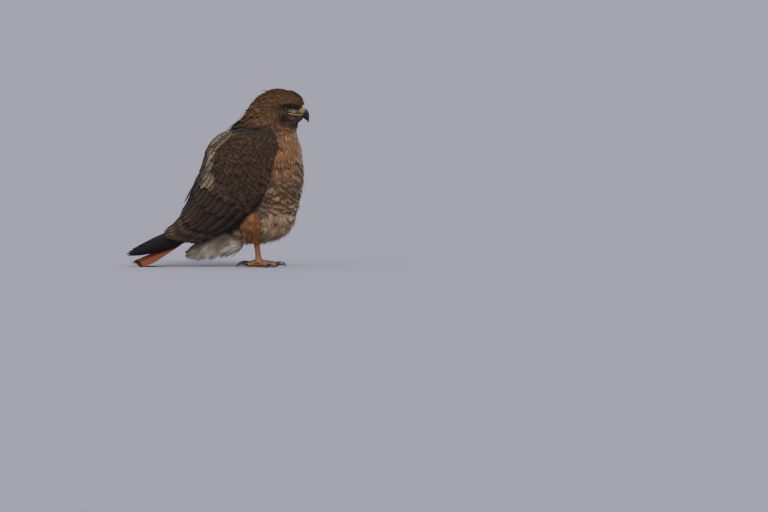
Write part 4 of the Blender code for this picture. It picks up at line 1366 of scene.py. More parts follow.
    def scapulars(self, coat: Coat) -> None:
        """Broad feathers over the back's side, last rows first."""
        draw = self.draw
        length, width = self.scapular_size
        for row, end in enumerate(self.scapular_ends):
            for k in range(4):
                angle = mix(46.0 + 2.5 * row, 84.0, (k + 0.5 * (row % 2)) / 4.0)
                tip = (end + draw.uniform(-4.0, 4.0), angle - 2.0)
                root = (tip[0] - length, angle + 2.0)
                place = self.laid(root, tip, (-1.8 + 0.25 * row, 2.0 + 0.2 * row), self.roll)
                dress = PLUMAGE.wing(np.array([tip[0]]), np.radians([angle]))
                dress = PLUMAGE.vary(dress, draw)
                form = BladeForm(rows=9).build(draw)
                spot = (root[0], math.radians(root[1]))
                self.blade(coat, form, place, spot, dress, width * draw.uniform(0.9, 1.1))

    def front(self, ends: tuple[float, float], angle: Array) -> Array:
        """Where the front edge is, given its distance low on the wing and high on it."""
        return mix(*ends, ramp(-0.3, 1.3, angle))

    def falling(self, s: Array, front: Array, depth: float) -> Array:
        """How far the surface falls away towards the front edge."""
        t = np.clip((s - front) / self.front_round, 0.0, 1.0)
        return depth * (1.0 - np.sqrt(1.0 - (1.0 - t) ** 2))

    def coverts(self) -> Coat:
        """The small soft coverts of the shoulder and the wing's front."""
        coat = Coat("coverts_" + self.side.word)
        draw = self.draw
        spans = ((-73.0, 66.0), (math.radians(self.low_angle), math.radians(88.0)))
        u, v = scatter(
            self.surface, spans, lambda u: (np.interp(u, [-70, 60], [6.0, 9.5]),) * 2, draw
        )
        front = self.front(self.covert_front, v)
        last = np.interp(np.degrees(v), [-31.0, 10.0, 55.0, 80.0], [56.0, 62.0, 40.0, 10.0])
        low = np.radians(self.low_edge.one(u))
        keep = (u > front - 1.0) & (u < last) & (v > low)
        u, v = u[keep], v[keep]
        many = len(u)
        size = np.interp(u, [-70.0, 60.0], [0.62, 1.0])
        drop = self.falling(u, self.front(self.covert_front, v), self.covert_fall)
        lay = Lay(
            length=self.covert_size[0] * size * draw.uniform(0.9, 1.15, many),
            width=self.covert_size[1] * size * draw.uniform(0.9, 1.1, many),
            root=-2.6 - drop,
            tip=draw.uniform(0.5, 1.6, many) - drop * 0.55,
            yaw=draw.normal(0.0, 0.07, many),
            roll=np.full(many, -0.05),
            camber=np.full(many, 1.2),
            stray=0.05,
        )
        dress = PLUMAGE.vary(PLUMAGE.wing(u, v), draw)
        shape = place_feathers(self.surface, CONTOUR, u, v, lay, draw)
        coat.add(CONTOUR, shape, self.surface.atlas.at(u, v), dress)
        return coat

    def shell(self) -> tuple[Array, Array]:
        """The closed core under the feathers, as points and faces."""
        rows, columns = self.core_grid
        across = np.linspace(0.0, 1.0, columns)
        along = np.linspace(0.0, 1.0, rows)
        angle = np.radians(self.low_angle) + across * np.radians(116.0)
        angle = np.broadcast_to(angle, (rows, columns))
        front = self.front(self.core_front, angle)
        reach = self.reach.one(np.degrees(angle))
        s = mix(front, reach, along[:, None])
        low = np.radians(self.low_edge.one(s))
        angle = mix(low + 0.05, np.radians(85.0), across[None])
        drop = self.falling(s, front, self.core_fall)
        edge = 4.0 * (1.0 - ramp(0.0, 0.1, across))[None]
        top = self.core_steps.one(s - reach) - 3.0 - drop - edge
        outer = self.surface.point(s, angle, top)
        inner = self.surface.point(s, angle, np.minimum(top - 3.0, -12.0 + 9.0 * ramp(95, 150, s)))
        return closed_sheet(outer, inner)


POINTED = ((0.0, 0.6), (0.3, 0.95), (0.6, 1.0), (0.8, 0.86), (0.93, 0.55), (1.0, 0.12))


def closed_sheet(outer: Array, inner: Array) -> tuple[Array, Array]:
    """Points and triangles of a closed body between two grids of points."""
    rows, wide = outer.shape[:2]
    points = np.concatenate([outer.reshape(-1, 3), inner.reshape(-1, 3)])
    return points, np.array(sheet_faces(rows, wide))


def closed_tube(surface: Surface, u: Array, around: int, h: Array) -> tuple[Array, Array, Array]:
    """A closed tube of a surface with capped ends.

    Args:
        surface: the surface, whose v goes round from -pi to pi.
        u: the rows.
        around: points in a row.
        h: the height above the surface for each row.

    Returns:
        Points, triangles, and the u and v of each point.
    """
    v = np.linspace(-math.pi, math.pi, around, endpoint=False)
    grid_u, grid_v = np.meshgrid(u, v, indexing="ij")
    points = surface.point(grid_u, grid_v, np.broadcast_to(h[:, None], grid_u.shape))
    faces = []
    for i in range(len(u) - 1):
        for j in range(around):
            a, b = i * around + j, i * around + (j + 1) % around
            faces += [(a, b, b + around), (a, b + around, a + around)]
    many = len(u) * around
    ends = [points[0].mean(axis=0), points[-1].mean(axis=0)]
    last = many - around
    for j in range(around):
        faces.append((many, (j + 1) % around, j))
        faces.append((many + 1, last + j, last + (j + 1) % around))
    coordinates = np.stack([grid_u.ravel(), grid_v.ravel()], axis=-1)
    coordinates = np.concatenate([coordinates, [[u[0], 0.0], [u[-1], 0.0]]])
    return np.concatenate([points.reshape(-1, 3), ends]), np.array(faces), coordinates


@dataclass
class Tail:
    """The folded tail: twelve stacked feathers and the coverts over their roots."""

    surface: TailSurface
    pairs: int = 6
    root: float = 118.0
    tip: float = 301.0
    taper: float = 1.1
    step: float = 1.05
    feather: float = 23.0
    span: float = 32.0
    thick: float = 0.5
    soft: Growth = Growth(
        length=(30.0, 38.0), width=(12.0, 16.0), root=0.5, tip=(1.2, 2.4),
        yaw=0.06, roll=0.03, camber=1.2, stray=0.05,
    )

    def laid(self, n: int, sign: int) -> Callable[[Array, Array, Array], Array]:
        """How the feather of one pair and side lies, n counted from the middle."""
        level = -self.step * (n + 1 if n or sign > 0 else 0)
        tip = self.tip - self.taper * n

        def place(a: Array, y: Array, h: Array) -> Array:
            """A point of the feather, y from -1 to 1 across it."""
            s = mix(self.root, tip, a)
            half = self.surface.width.one(s)
            outer = half * (n + 1.6) / (self.pairs + 0.6)
            inner = outer - self.feather * half / self.span
            inner = np.maximum(inner, 0.6) if n else inner
            across = mix(inner, outer, (y + 1.0) / 2.0)
            return self.surface.point(s, sign * across, level + h)

        return place

    def vanes(self) -> Coat:
        """The twelve tail feathers."""
        coat = Coat("tail_vanes")
        draw = np.random.default_rng(SEED + 5)
        for n in reversed(range(self.pairs)):
            for side in Side:
                form = BladeForm(rows=18, outline=SQUARE, splits=4).build(draw)
                place = self.laid(n, side.value)
                height = form.lift * 0.6 + np.where(form.loose < 0.0, -self.thick, 0.0)
                points = place(form.along, form.across, height)
                dress = PLUMAGE.vary(plain_dress(1, Tint.RUFOUS, Tint.BAND), draw)
                root = self.surface.atlas.at(self.root, side.value * (4.0 * n + 2.0))
                coat.add(form, points[None], root[None], dress)
        return coat

    def coverts(self) -> Coat:
        """Soft feathers over the tail's root."""
        coat = Coat("tail_coverts")
        draw = np.random.default_rng(SEED + 6)
        over = ((112.0, 176.0), (-16.0, 16.0))
        u, v = scatter(self.surface, over, lambda _: (9.0, 6.5), draw)
        lay = self.soft.lay(len(u), draw)
        dress = plain_dress(len(u), Tint.RUFOUS, Tint.WING_EDGE)
        dress.base = paint(dress.base, Tint.MANTLE, ramp(150.0, 120.0, u))
        dress.edge = dress.edge + 0.5
        coat.grow(self.surface, CONTOUR, (u, v), lay, dress, draw)
        return coat


SQUARE = ((0.0, 0.7), (0.3, 0.95), (0.6, 1.0), (0.9, 1.0), (0.97, 0.85), (1.0, 0.45))


@dataclass
class Trousers:
    """The long soft feathers of one thigh."""

    surface: ThighSurface
    rows: Growth = Growth(
        length=(0.85, 1.15), width=(0.85, 1.15), root=-2.2, tip=(0.5, 4.5),
        yaw=0.16, roll=0.1, camber=1.2, stray=0.14,
    )
    strands: Growth = Growth(
        length=(14.0, 26.0), width=(7.0, 11.0), root=-1.5, tip=(0.5, 4.0),
        yaw=0.2, roll=0.1, camber=(0.8, 2.0), stray=0.07,
    )
    lengths: tuple[float, float] = (30.0, 15.0)
    widths: tuple[float, float] = (11.0, 7.0)

    def coat(self) -> Coat:
        """Rows of feathers that hang down the thigh, with loose strands over them."""
        side = self.surface.side
        coat = Coat("trousers_" + side.word)
        draw = np.random.default_rng(SEED + 7 + side.value)
        whole = ((0.0, 0.86), (-math.pi, math.pi))
        u, v = scatter(self.surface, whole, lambda _: (6.0, 5.0), draw)
        down = ramp(0.0, 1.0, u)
        lay = self.rows.lay(len(u), draw)
        lay.length *= mix(*self.lengths, down)
        lay.width *= mix(*self.widths, down)
        dress = plain_dress(len(u), Tint.TROUSER, Tint.TROUSER_BAR)
        dress.bars = dress.bars + draw.uniform(0.25, 0.7, len(u))
        behind = ramp(2.1, 3.1, np.abs(v) + draw.normal(0.0, 0.2, len(u)))
        dress.base = paint(dress.base, Tint.VENT, 0.6 * behind)
        coat.grow(self.surface, CONTOUR, (u, v), lay, dress, draw)
        most = ((0.12, 0.97), (-math.pi, math.pi))
        u, v = scatter(self.surface, most, lambda _: (4.8, 5.2), draw)
        lay = self.strands.lay(len(u), draw)
        lay.length *= 1.1 - 0.6 * u
        dress = plain_dress(len(u), Tint.TROUSER, Tint.TROUSER_BAR)
        dress.base = paint(dress.base, Tint.CREAM, draw.uniform(-0.4, 0.55, len(u)))
        dress.base = paint(dress.base, Tint.BUFF, ramp(1.1, 0.3, np.abs(v)))
        coat.grow(self.surface, WISP, (u, v), lay, dress, draw)
        return coat


@dataclass
class Vent:
    """The white soft feathers between the legs and the tail."""

    surface: VentSurface
    rows: Growth = Growth(
        length=(22.0, 30.0), width=(10.0, 14.0), root=-2.4, tip=(0.2, 2.2),
        yaw=0.1, roll=0.08, camber=1.2, stray=0.1,
    )
    tufts: Growth = Growth(
        length=(24.0, 46.0), width=(6.0, 12.0), root=-1.5, tip=(1.0, 12.0),
        yaw=0.16, roll=0.1, camber=(0.8, 3.0), stray=0.06,
    )
    sag: float = 6.0
    rear: tuple[float, float] = (2.2, 5.0)

    def coat(self) -> Coat:
        """Rows of feathers with loose tufts hanging under them."""
        coat = Coat("coat_vent")
        draw = np.random.default_rng(SEED + 9)
        whole = ((0.3, 6.4), (-math.pi, math.pi))
        u, v = scatter(self.surface, whole, lambda _: (7.5, 6.5), draw)
        lay = self.rows.lay(len(u), draw)
        dress = plain_dress(len(u), Tint.VENT, Tint.GREY)
        shaded = ramp(2.6, 4.0, u) * ramp(0.8, 1.6, np.abs(v))
        dress.base = paint(dress.base, Tint.GREY, 0.75 * shaded)
        dress.streak = dress.streak + 0.25
        coat.grow(self.surface, CONTOUR, (u, v), lay, dress, draw)
        below = ((0.3, 5.6), (-1.9, 1.9))
        u, v = scatter(self.surface, below, lambda _: (4.2, 4.6), draw)
        lay = self.tufts.lay(len(u), draw)
        rear = ramp(*self.rear, u)
        lay.length *= 1.0 - 0.25 * rear
        lay.tip *= 1.0 - 0.5 * rear
        dress = plain_dress(len(u), Tint.WHITE, Tint.VENT)
        dress.base = paint(dress.base, Tint.BUFF, draw.uniform(-0.3, 0.7, len(u)))
        coat.grow(self.surface, WISP, (u, v), lay, dress, draw, self.sag)
        return coat


@dataclass(frozen=True)
class Ring:
    """One ring of a loft: its middle and half sizes in millimetres and how it faces."""

    middle: tuple[float, float, float]
    wide: float
    tall: float
    pitch: float = 0.0
    yaw: float = 0.0


class Loft:
    """A closed body that is grown ring by ring in edit mode and then smoothed."""

    def __init__(self, name: str, around: int = 16, smooth: int = 1) -> None:
        """Say what is to be grown.

        Args:
            name: the piece's name.
            around: corners of a ring.
            smooth: how often its faces are divided at the end.
        """
        self.name = name
        self.around = around
        self.smooth = smooth

    def turn(self, ring: Ring, centre: tuple, sense: int) -> None:
        """Face the selected ring along the body, or back again where sense is -1."""
        steps = [("Y", ring.pitch), ("Z", -ring.yaw)]
        for axis, angle in steps if sense > 0 else reversed(steps):
            if angle:
                bpy.ops.transform.rotate(
                    value=math.radians(angle * sense), orient_axis=axis, center_override=centre
                )

    def grow(self, rings: Sequence[Ring]) -> bpy.types.Object:
        """Grow the body.

        Args:
            rings: from its root to its tip.

        Returns:
            The finished mesh object.
        """
        bpy.ops.object.select_all(action="DESELECT")
        first = rings[0]
        bpy.ops.mesh.primitive_circle_add(
            vertices=self.around, radius=MM, fill_type="NGON", enter_editmode=True
        )
        origin = (0.0, 0.0, 0.0)
        bpy.ops.mesh.select_all(action="SELECT")
        bpy.ops.transform.resize(value=(first.tall, first.wide, 1.0), center_override=origin)
        bpy.ops.transform.rotate(
            value=-math.pi / 2.0, orient_axis="Y", center_override=origin
        )
        here = tuple(PLACE.world([first.middle])[0])
        bpy.ops.transform.translate(value=here)
        self.turn(first, here, 1)
        for before, after in zip(rings, rings[1:]):
            there = tuple(PLACE.world([after.middle])[0])
            step = tuple(b - a for a, b in zip(here, there))
            bpy.ops.mesh.extrude_region_move(TRANSFORM_OT_translate={"value": step})
            self.turn(before, there, -1)
            size = (1.0, after.wide / before.wide, after.tall / before.tall)
            bpy.ops.transform.resize(value=size, center_override=there)
            self.turn(after, there, 1)
            here = there
        bpy.ops.mesh.select_all(action="SELECT")
        bpy.ops.mesh.normals_make_consistent(inside=False)
        bpy.ops.mesh.select_all(action="DESELECT")
        bpy.ops.object.mode_set(mode="OBJECT")
        piece = bpy.context.active_object
        piece.name = self.name
        if self.smooth:
            finer = piece.modifiers.new("finer", "SUBSURF")
            finer.levels = self.smooth
            finer.render_levels = self.smooth
            bpy.ops.object.modifier_apply(modifier=finer.name)
        bpy.ops.object.shade_smooth()
        return piece


def path_rings(path: Array, wide: Array, tall: Array) -> list[Ring]:
    """Rings along a path, each facing the way that the path goes."""
    heading = np.gradient(np.asarray(path, float), axis=0)
    flat = np.hypot(heading[:, 0], heading[:, 1])
    pitch = np.degrees(np.arctan2(heading[:, 2], flat))
    yaw = np.where(flat > 1e-6, np.degrees(np.arctan2(heading[:, 1], heading[:, 0])), 0.0)
    return [Ring(tuple(p), *values) for p, *values in zip(path, wide, tall, pitch, yaw)]


def deliver(
    piece: bpy.types.Object, material: bpy.types.Material, slot: str, nodes: Sequence[str]
) -> None:
    """Give a modelled piece its material and hand it over."""
    piece.data.materials.clear()
    piece.data.materials.append(material)
    settle(piece, slot, nodes)


@dataclass
class Bill:
    """Cere with nostrils, hooked upper bill and lower bill."""

    upper: tuple = (
        (62.0, 305.2, 58.0, 289.5, 12.3),
        (73.0, 304.6, 68.0, 288.8, 10.8),
        (80.0, 303.3, 74.0, 288.2, 9.4),
        (85.2, 300.3, 77.6, 284.6, 8.2),
        (89.2, 295.6, 80.4, 281.6, 6.9),
        (91.2, 289.8, 83.4, 279.4, 5.2),
        (91.4, 283.4, 86.2, 277.4, 3.5),
        (90.4, 277.0, 87.8, 274.6, 1.9),
        (88.9, 271.8, 88.5, 271.5, 0.35),
    )
    lower: tuple = (
        (54.0, 288.0, 56.0, 267.0, 12.5),
        (62.0, 287.6, 62.5, 268.6, 11.2),
        (68.0, 287.0, 68.5, 271.4, 9.2),
        (73.5, 289.0, 73.5, 275.2, 7.0),
        (80.2, 286.4, 79.2, 280.2, 3.0),
    )
    cere_end: float = 2.75
    nostril: tuple[float, float, float] = (79.0, 8.6, 297.2)
    nostril_size: float = 2.1

    def rings(self, table: tuple, start: float, end: float, count: int) -> list[Ring]:
        """Rings between two places of a table of upper points, lower points and half widths."""
        rows = Curve([(k, *row) for k, row in enumerate(table)]).at(np.linspace(start, end, count))
        made = []
        for top_x, top_z, low_x, low_z, half in rows:
            tall = math.hypot(top_x - low_x, top_z - low_z) / 2.0
            pitch = math.degrees(math.atan2(low_x - top_x, top_z - low_z))
            middle = ((top_x + low_x) / 2.0, 0.0, (top_z + low_z) / 2.0)
            made.append(Ring(middle, max(half, 0.25), max(tall, 0.25), pitch))
        return made

    def build(self, looks: "Looks") -> None:
        """Make the three pieces."""
        cere = Loft("cere_skin", 28).grow(self.rings(self.upper, 0.0, self.cere_end, 12))
        for side in Side:
            self.sink_nostril(cere, side)
        deliver(cere, looks.cere, "cere_skin", ("cere",))
        upper = self.rings(self.upper, self.cere_end, len(self.upper) - 1.0, 26)
        upper[0] = replace(upper[0], wide=upper[0].wide * 0.95, tall=upper[0].tall * 0.95)
        horn = Loft("bill_upper_horn", 28).grow(upper)
        deliver(horn, looks.bill, "bill_horn", ("bill_upper",))
        lower = Loft("bill_lower_horn", 24).grow(self.rings(self.lower, 0.0, 4.0, 14))
        deliver(lower, looks.lower_bill, "bill_horn", ("bill_lower",))

    def sink_nostril(self, cere: bpy.types.Object, side: Side) -> None:
        """Press one nostril into the cere."""
        x, y, z = self.nostril
        spot = Vector(PLACE.world([(x - 3.0, side.value * y, z - 0.5)])[0])
        mesh = cere.data
        mesh.vertices.foreach_set("select", np.zeros(len(mesh.vertices), bool))
        mesh.edges.foreach_set("select", np.zeros(len(mesh.edges), bool))
        for face in mesh.polygons:
            face.select = (face.center - spot).length < self.nostril_size * MM
        bpy.context.view_layer.objects.active = cere
        bpy.ops.object.mode_set(mode="EDIT")
        bpy.ops.mesh.select_mode(type="FACE")
        bpy.ops.mesh.inset(thickness=0.35 * MM, depth=0.0)
        bpy.ops.transform.translate(value=(0.0, -side.value * 1.6 * MM, 0.0))
        bpy.ops.mesh.select_all(action="DESELECT")
        bpy.ops.object.mode_set(mode="OBJECT")


@dataclass
class Eye:
    """One eye with its two lids."""

    side: Side
    centre: tuple[float, float, float] = (47.7, 22.5, 302.0)
    radius: float = 7.0
    axis: tuple[float, float, float] = (0.30, 0.95, 0.05)
    bulge: float = 0.8
    bulge_reach: float = 4.6
    lids: tuple = (("lid_upper_", 3.3, 1.25, 1.0), ("lid_lower_", -3.7, 0.8, 0.7))
    lid_steps: int = 26
    lid_reach: float = 5.5
    lid_radius: float = 7.25

    def frame_of(self) -> tuple[Vector, Vector, Vector, Vector]:
        """The middle of the eye and its outward, forward and upward directions."""
        sign = self.side.value
        middle = Vector((self.centre[0], sign * self.centre[1], self.centre[2]))
        out = Vector((self.axis[0], sign * self.axis[1], self.axis[2])).normalized()
        forward = Vector((1.0, 0.0, -0.16))
        forward = (forward - out * forward.dot(out)).normalized()
        up = out.cross(forward)
        return middle, out, forward, up if up.z > 0.0 else -up

    def build(self, looks: "Looks") -> None:
        """Make the ball with its raised front, and the lids round it."""
        middle, out, _, _ = self.frame_of()
        place = Vector(PLACE.world([tuple(middle)])[0])
        bpy.ops.object.select_all(action="DESELECT")
        bpy.ops.mesh.primitive_uv_sphere_add(
            segments=48, ring_count=24, radius=self.radius * MM, enter_editmode=True
        )
        bpy.ops.mesh.select_all(action="DESELECT")
        bpy.ops.object.mode_set(mode="OBJECT")
        ball = bpy.context.active_object
        ball.name = "eyeball_" + self.side.word
        top = max(ball.data.vertices, key=lambda vertex: vertex.co.z)
        top.select = True
        bpy.ops.object.mode_set(mode="EDIT")
        bpy.ops.mesh.select_mode(type="VERT")
        bpy.ops.transform.translate(
            value=(0.0, 0.0, self.bulge * MM),
            use_proportional_edit=True,
            proportional_edit_falloff="SMOOTH",
            proportional_size=self.bulge_reach * MM,
        )
        bpy.ops.mesh.select_all(action="DESELECT")
        bpy.ops.object.mode_set(mode="OBJECT")
        turn = Vector((0.0, 0.0, 1.0)).rotation_difference(out)
        ball.data.transform(turn.to_matrix().to_4x4())
        ball.data.transform(Matrix.Translation(place))
        bpy.ops.object.shade_smooth()
        deliver(ball, looks.eyes[self.side], "eye", ("eye_" + self.side.word,))
        for lid in self.lids:
            self.lid(*lid, looks)

    def lid(self, name: str, height: float, thick: float, ends: float, looks: "Looks") -> None:
        """One lid, from the front corner of the eye to the back one."""
        middle, out, forward, up = self.frame_of()
        path = []
        for turn in np.linspace(-0.06, math.pi + 0.06, self.lid_steps):
            radial = forward * math.cos(turn) * self.lid_reach + up * math.sin(turn) * height
            rise = math.sqrt(max(self.lid_radius**2 - radial.length_squared, 1.0))
            path.append(tuple(middle + radial + out * rise))
        bow = np.sin(np.linspace(0.0, math.pi, self.lid_steps)) ** 0.5
        wide = mix(0.5 * ends, thick, bow)
        piece = Loft(name + self.side.word, 10).grow(path_rings(path, wide, wide))
        deliver(piece, looks.lid, "head_feathers", ())


@dataclass
class Gape:
    """The yellow line from the bill back to the corner of the mouth."""

    body: BodySurface
    start: tuple[float, float] = (79.5, 287.9)
    end: tuple[float, float] = (50.5, 291.2)
    feathered: float = 66.0
    front_out: float = 8.0
    proud: float = 0.3
    sag: float = 0.8
    steps: int = 22

    def depth(self, x: float, z: float) -> float:
        """How far out the head's surface is at a place of the side view."""
        u, v = np.meshgrid(np.linspace(0.6, 6.2, 150), np.linspace(0.05, 3.1, 150))
        points = self.body.base(u, v)
        near = np.hypot(points[..., 0] - x, points[..., 2] - z)
        return float(points[..., 1].ravel()[np.argmin(near)])

    def build(self, side: Side, looks: "Looks") -> None:
        """Make the line on one side."""
        path = []
        for t in np.linspace(0.0, 1.0, self.steps):
            x = mix(self.start[0], self.end[0], t)
            z = mix(self.start[1], self.end[1], t) - self.sag * math.sin(math.pi * t)
            back = min(x, self.feathered)
            out = self.depth(back, z) + self.proud
            if x > back:
                out = mix(out, self.front_out, (x - back) / (self.start[0] - back))
            path.append((x, side.value * out, z))
        share = np.linspace(0.0, 1.0, self.steps)
        wide = np.interp(share, [0.0, 0.2, 0.8, 1.0], [0.7, 1.2, 1.1, 0.4])
        tall = np.interp(share, [0.0, 0.2, 0.8, 1.0], [0.8, 1.5, 1.7, 0.6])
        rings = path_rings(path, wide, tall)
        piece = Loft("gape_" + side.word, 12).grow(rings)
        deliver(piece, looks.gape, "cere_skin", ())


@dataclass(frozen=True)
class Toe:
    """The sizes of one toe and its claw."""

    name: str
    angle: float
    length: float
    thick: float
    thin: float
    claw: float


@dataclass
class Leg:
    """A bare shank, four scaled toes and their claws."""

    side: Side
    foot_x: float = -5.5
    foot_y: float = 27.0
    toes: tuple[Toe, ...] = (
        Toe("middle", 4.0, 35.0, 6.0, 4.3, 21.0),
        Toe("inner", -34.0, 26.0, 6.0, 4.6, 23.0),
        Toe("outer", 50.0, 29.0, 5.6, 4.0, 17.0),
        Toe("hind", 184.0, 20.0, 6.0, 4.8, 25.0),
    )
    shank: tuple = (
        (-58.0, -12.5, 5.4, 5.0),
        (-46.0, -9.0, 5.6, 5.0),
        (-36.0, -7.6, 5.0, 4.3),
        (-24.0, -6.4, 5.0, 4.4),
        (-15.0, -5.6, 6.0, 5.6),
        (-9.0, -5.5, 8.8, 8.0),
        (-3.4, -5.5, 7.6, 7.0),
    )
    shank_step: float = 1.4
    scute: float = 1.15
    ridge: float = 0.045
    claw_turn: float = math.radians(85.0)
    claw_tip: float = 0.7

    def build(self, looks: "Looks") -> None:
        """Make the leg."""
        word = self.side.word
        table = Curve(self.shank)
        places = np.arange(self.shank[0][0], self.shank[-1][0] + 0.1, self.shank_step)
        x, along, across = np.moveaxis(table.at(places), -1, 0)
        path = np.stack([x, np.full(len(x), self.side.value * self.foot_y), -places], axis=-1)
        steps = 1.0 - self.ridge * 0.6 * (np.arange(len(places)) % 2)
        rings = path_rings(path, across * steps, along * steps)
        shank = Loft("shank_" + word, 20).grow(rings)
        deliver(shank, looks.scales, "leg_scales", ("tarsus_" + word, "foot_" + word))
        for toe in self.toes:
            self.toe(toe, looks)
            self.claw(toe, looks)

    def heading(self, toe: Toe) -> Array:
        """The level direction of a toe."""
        turn = math.radians(toe.angle)
        return np.array([math.cos(turn), self.side.value * math.sin(turn), 0.0])

    def toe(self, toe: Toe, looks: "Looks") -> None:
        """One toe with raised scutes and pads."""
        count = int(toe.length / self.scute)
        t = np.linspace(0.0, 1.0, count)
        swell = 1.0 + 0.07 * np.cos(t * toe.length / 9.0 * 2.0 * math.pi)
        radius = mix(toe.thick, toe.thin, t) * swell * (1.0 - self.ridge * (np.arange(count) % 2))
        tall = radius * 0.93
        start = np.array([self.foot_x, self.side.value * self.foot_y, 0.0])
        path = start + self.heading(toe)[None] * (t * toe.length)[:, None]
        path[:, 2] = tall + 0.15 + 2.2 * np.sin(math.pi * t) * (1.0 - t)
        piece = Loft("toe_" + toe.name + "_" + self.side.word, 18).grow(
            path_rings(path, radius, tall)
        )
        deliver(piece, looks.scales, "leg_scales", ("foot_" + self.side.word,))

    def claw(self, toe: Toe, looks: "Looks") -> None:
        """One curved claw from the toe's end down to the ground."""
        forward = self.heading(toe)
        place = np.array([self.foot_x, self.side.value * self.foot_y, toe.thin * 0.95])
        place = place + forward * (toe.length - 1.2)
        drop = place[2] - self.claw_tip
        lean = drop * self.claw_turn / (2.0 * toe.claw * math.sin(self.claw_turn / 2.0))
        start = self.claw_turn / 2.0 - math.asin(lean)
        steps = 14
        path = [place]
        for k in range(steps):
            ahead = start - self.claw_turn * (k + 0.5) / steps
            travel = forward * math.cos(ahead) + np.array([0.0, 0.0, math.sin(ahead)])
            path.append(path[-1] + travel * (toe.claw + 1.2) / steps)
        share = np.linspace(0.0, 1.0, steps + 1)
        radius = toe.thin * 0.82 * (1.0 - 0.94 * share**1.25)
        rings = path_rings(path, radius * 0.8, radius)
        name = "claw_" + toe.name + "_" + self.side.word
        piece = Loft("horn_" + name, 14).grow(rings)
        deliver(piece, looks.claw, "claw_horn", (name,))


class Wire:
    """A value in a material's nodes. Arithmetic on it adds the nodes that it needs."""

    def __init__(self, graph: "Graph", socket: bpy.types.NodeSocket) -> None:
        """Keep the socket.

        Args:
            graph: the material's nodes.
            socket: the output that carries the value.
        """
        self.graph = graph
        self.socket = socket

    def combined(self, kind: str, first: "Wire | float", second: "Wire | float") -> "Wire":
        """The result of a Math node, or of a Vector Math node for colours and vectors."""
        many = any(isinstance(w, Wire) and w.socket.type != "VALUE" for w in (first, second))
        node = "ShaderNodeVectorMath" if many else "ShaderNodeMath"
        return self.graph.node(node, {0: first, 1: second}, operation=kind)

    def __add__(self, other: "Wire | float") -> "Wire":
        """This and another."""
        return self.combined("ADD", self, other)

    __radd__ = __add__

    def __mul__(self, other: "Wire | float") -> "Wire":
        """This times another."""
        return self.combined("MULTIPLY", self, other)

    def __sub__(self, other: "Wire | float") -> "Wire":
        """This less another."""
        return self.combined("SUBTRACT", self, other)

    def __rsub__(self, other: "Wire | float") -> "Wire":
        """Another less this."""
        return self.combined("SUBTRACT", other, self)

    def alone(self, kind: str) -> "Wire":
        """The result of a Math node with one input, such as SINE or ABSOLUTE."""
        return self.graph.node("ShaderNodeMath", {0: self}, operation=kind)

    def step(self, low: float, high: float) -> "Wire":
        """A soft step from 0 at low to 1 at high."""
        values = {"Value": self, "From Min": low, "From Max": high}
        return self.graph.node("ShaderNodeMapRange", values, interpolation_type="SMOOTHSTEP")

    def blend(self, first: "Wire | Sequence", second: "Wire | Sequence") -> "Wire":
        """One colour where this is 0 and another where it is 1."""
        values = {0: self, 6: first, 7: second}
        return self.graph.node("ShaderNodeMix", values, 2, data_type="RGBA")


class Graph:
    """A material and the nodes that feed its surface."""

    def __init__(self, name: str) -> None:
        """Start a material.

        Args:
            name: what it is called.
        """
        self.material = bpy.data.materials.new(name)
        self.material.use_nodes = True
        self.tree = self.material.node_tree
        self.surface = self.tree.nodes["Principled BSDF"]

    def plug(self, socket: bpy.types.NodeSocket, value: "Wire | float | Sequence") -> None:
        """Feed a socket with a wire or a constant."""
        if isinstance(value, Wire):
            self.tree.links.new(value.socket, socket)
        elif hasattr(socket.default_value, "__len__"):
            size = len(socket.default_value)
            several = [value] * size if isinstance(value, (int, float)) else [*value, 1.0][:size]
            socket.default_value = several
        else:
            socket.default_value = value

    def node(self, kind: str, inputs: dict, output: int = 0, **options: object) -> Wire:
        """Add any node.

        Args:
            kind: the node's type.
            inputs: what feeds its sockets, by name or number.
            output: the number of the output that is wanted.
            options: settings of the node itself.

        Returns:
            The wire from that output.
        """
        node = self.tree.nodes.new(kind)
        for key, value in options.items():
            setattr(node, key, value)
        for key, value in inputs.items():
            self.plug(node.inputs[key], value)
        return Wire(self, node.outputs[output])

    def attribute(self, name: str) -> Wire:
        """A colour attribute of the mesh."""
        return self.node("ShaderNodeAttribute", {}, attribute_name=name)

    def place(self) -> Wire:
        """The place on the object, in millimetres."""
        return self.node("ShaderNodeTexCoord", {}, 3) * (1.0 / MM)

    def parts(self, wire: Wire) -> tuple[Wire, Wire, Wire]:
        """The three numbers of a vector or colour."""
        node = self.node("ShaderNodeSeparateXYZ", {0: wire})
        outputs = node.socket.node.outputs
        return tuple(Wire(self, outputs[k]) for k in range(3))

    def noise(self, place: Wire, scale: float, detail: float = 3.0) -> Wire:
        """Soft noise from 0 to 1, with a scale for each unit of the place."""
        return self.node("ShaderNodeTexNoise", {"Vector": place, "Scale": scale, "Detail": detail})

    def relief(self, height: Wire, depth: float) -> None:
        """Raise the surface by a height of this many millimetres."""
        values = {"Height": height, "Distance": depth * MM}
        self.set(Normal=self.node("ShaderNodeBump", values))

    def set(self, **values: "Wire | float | Sequence") -> None:
        """Feed the surface's own sockets, with _ for a space in their names."""
        for name, value in values.items():
            self.plug(self.surface.inputs[name.replace("_", " ")], value)


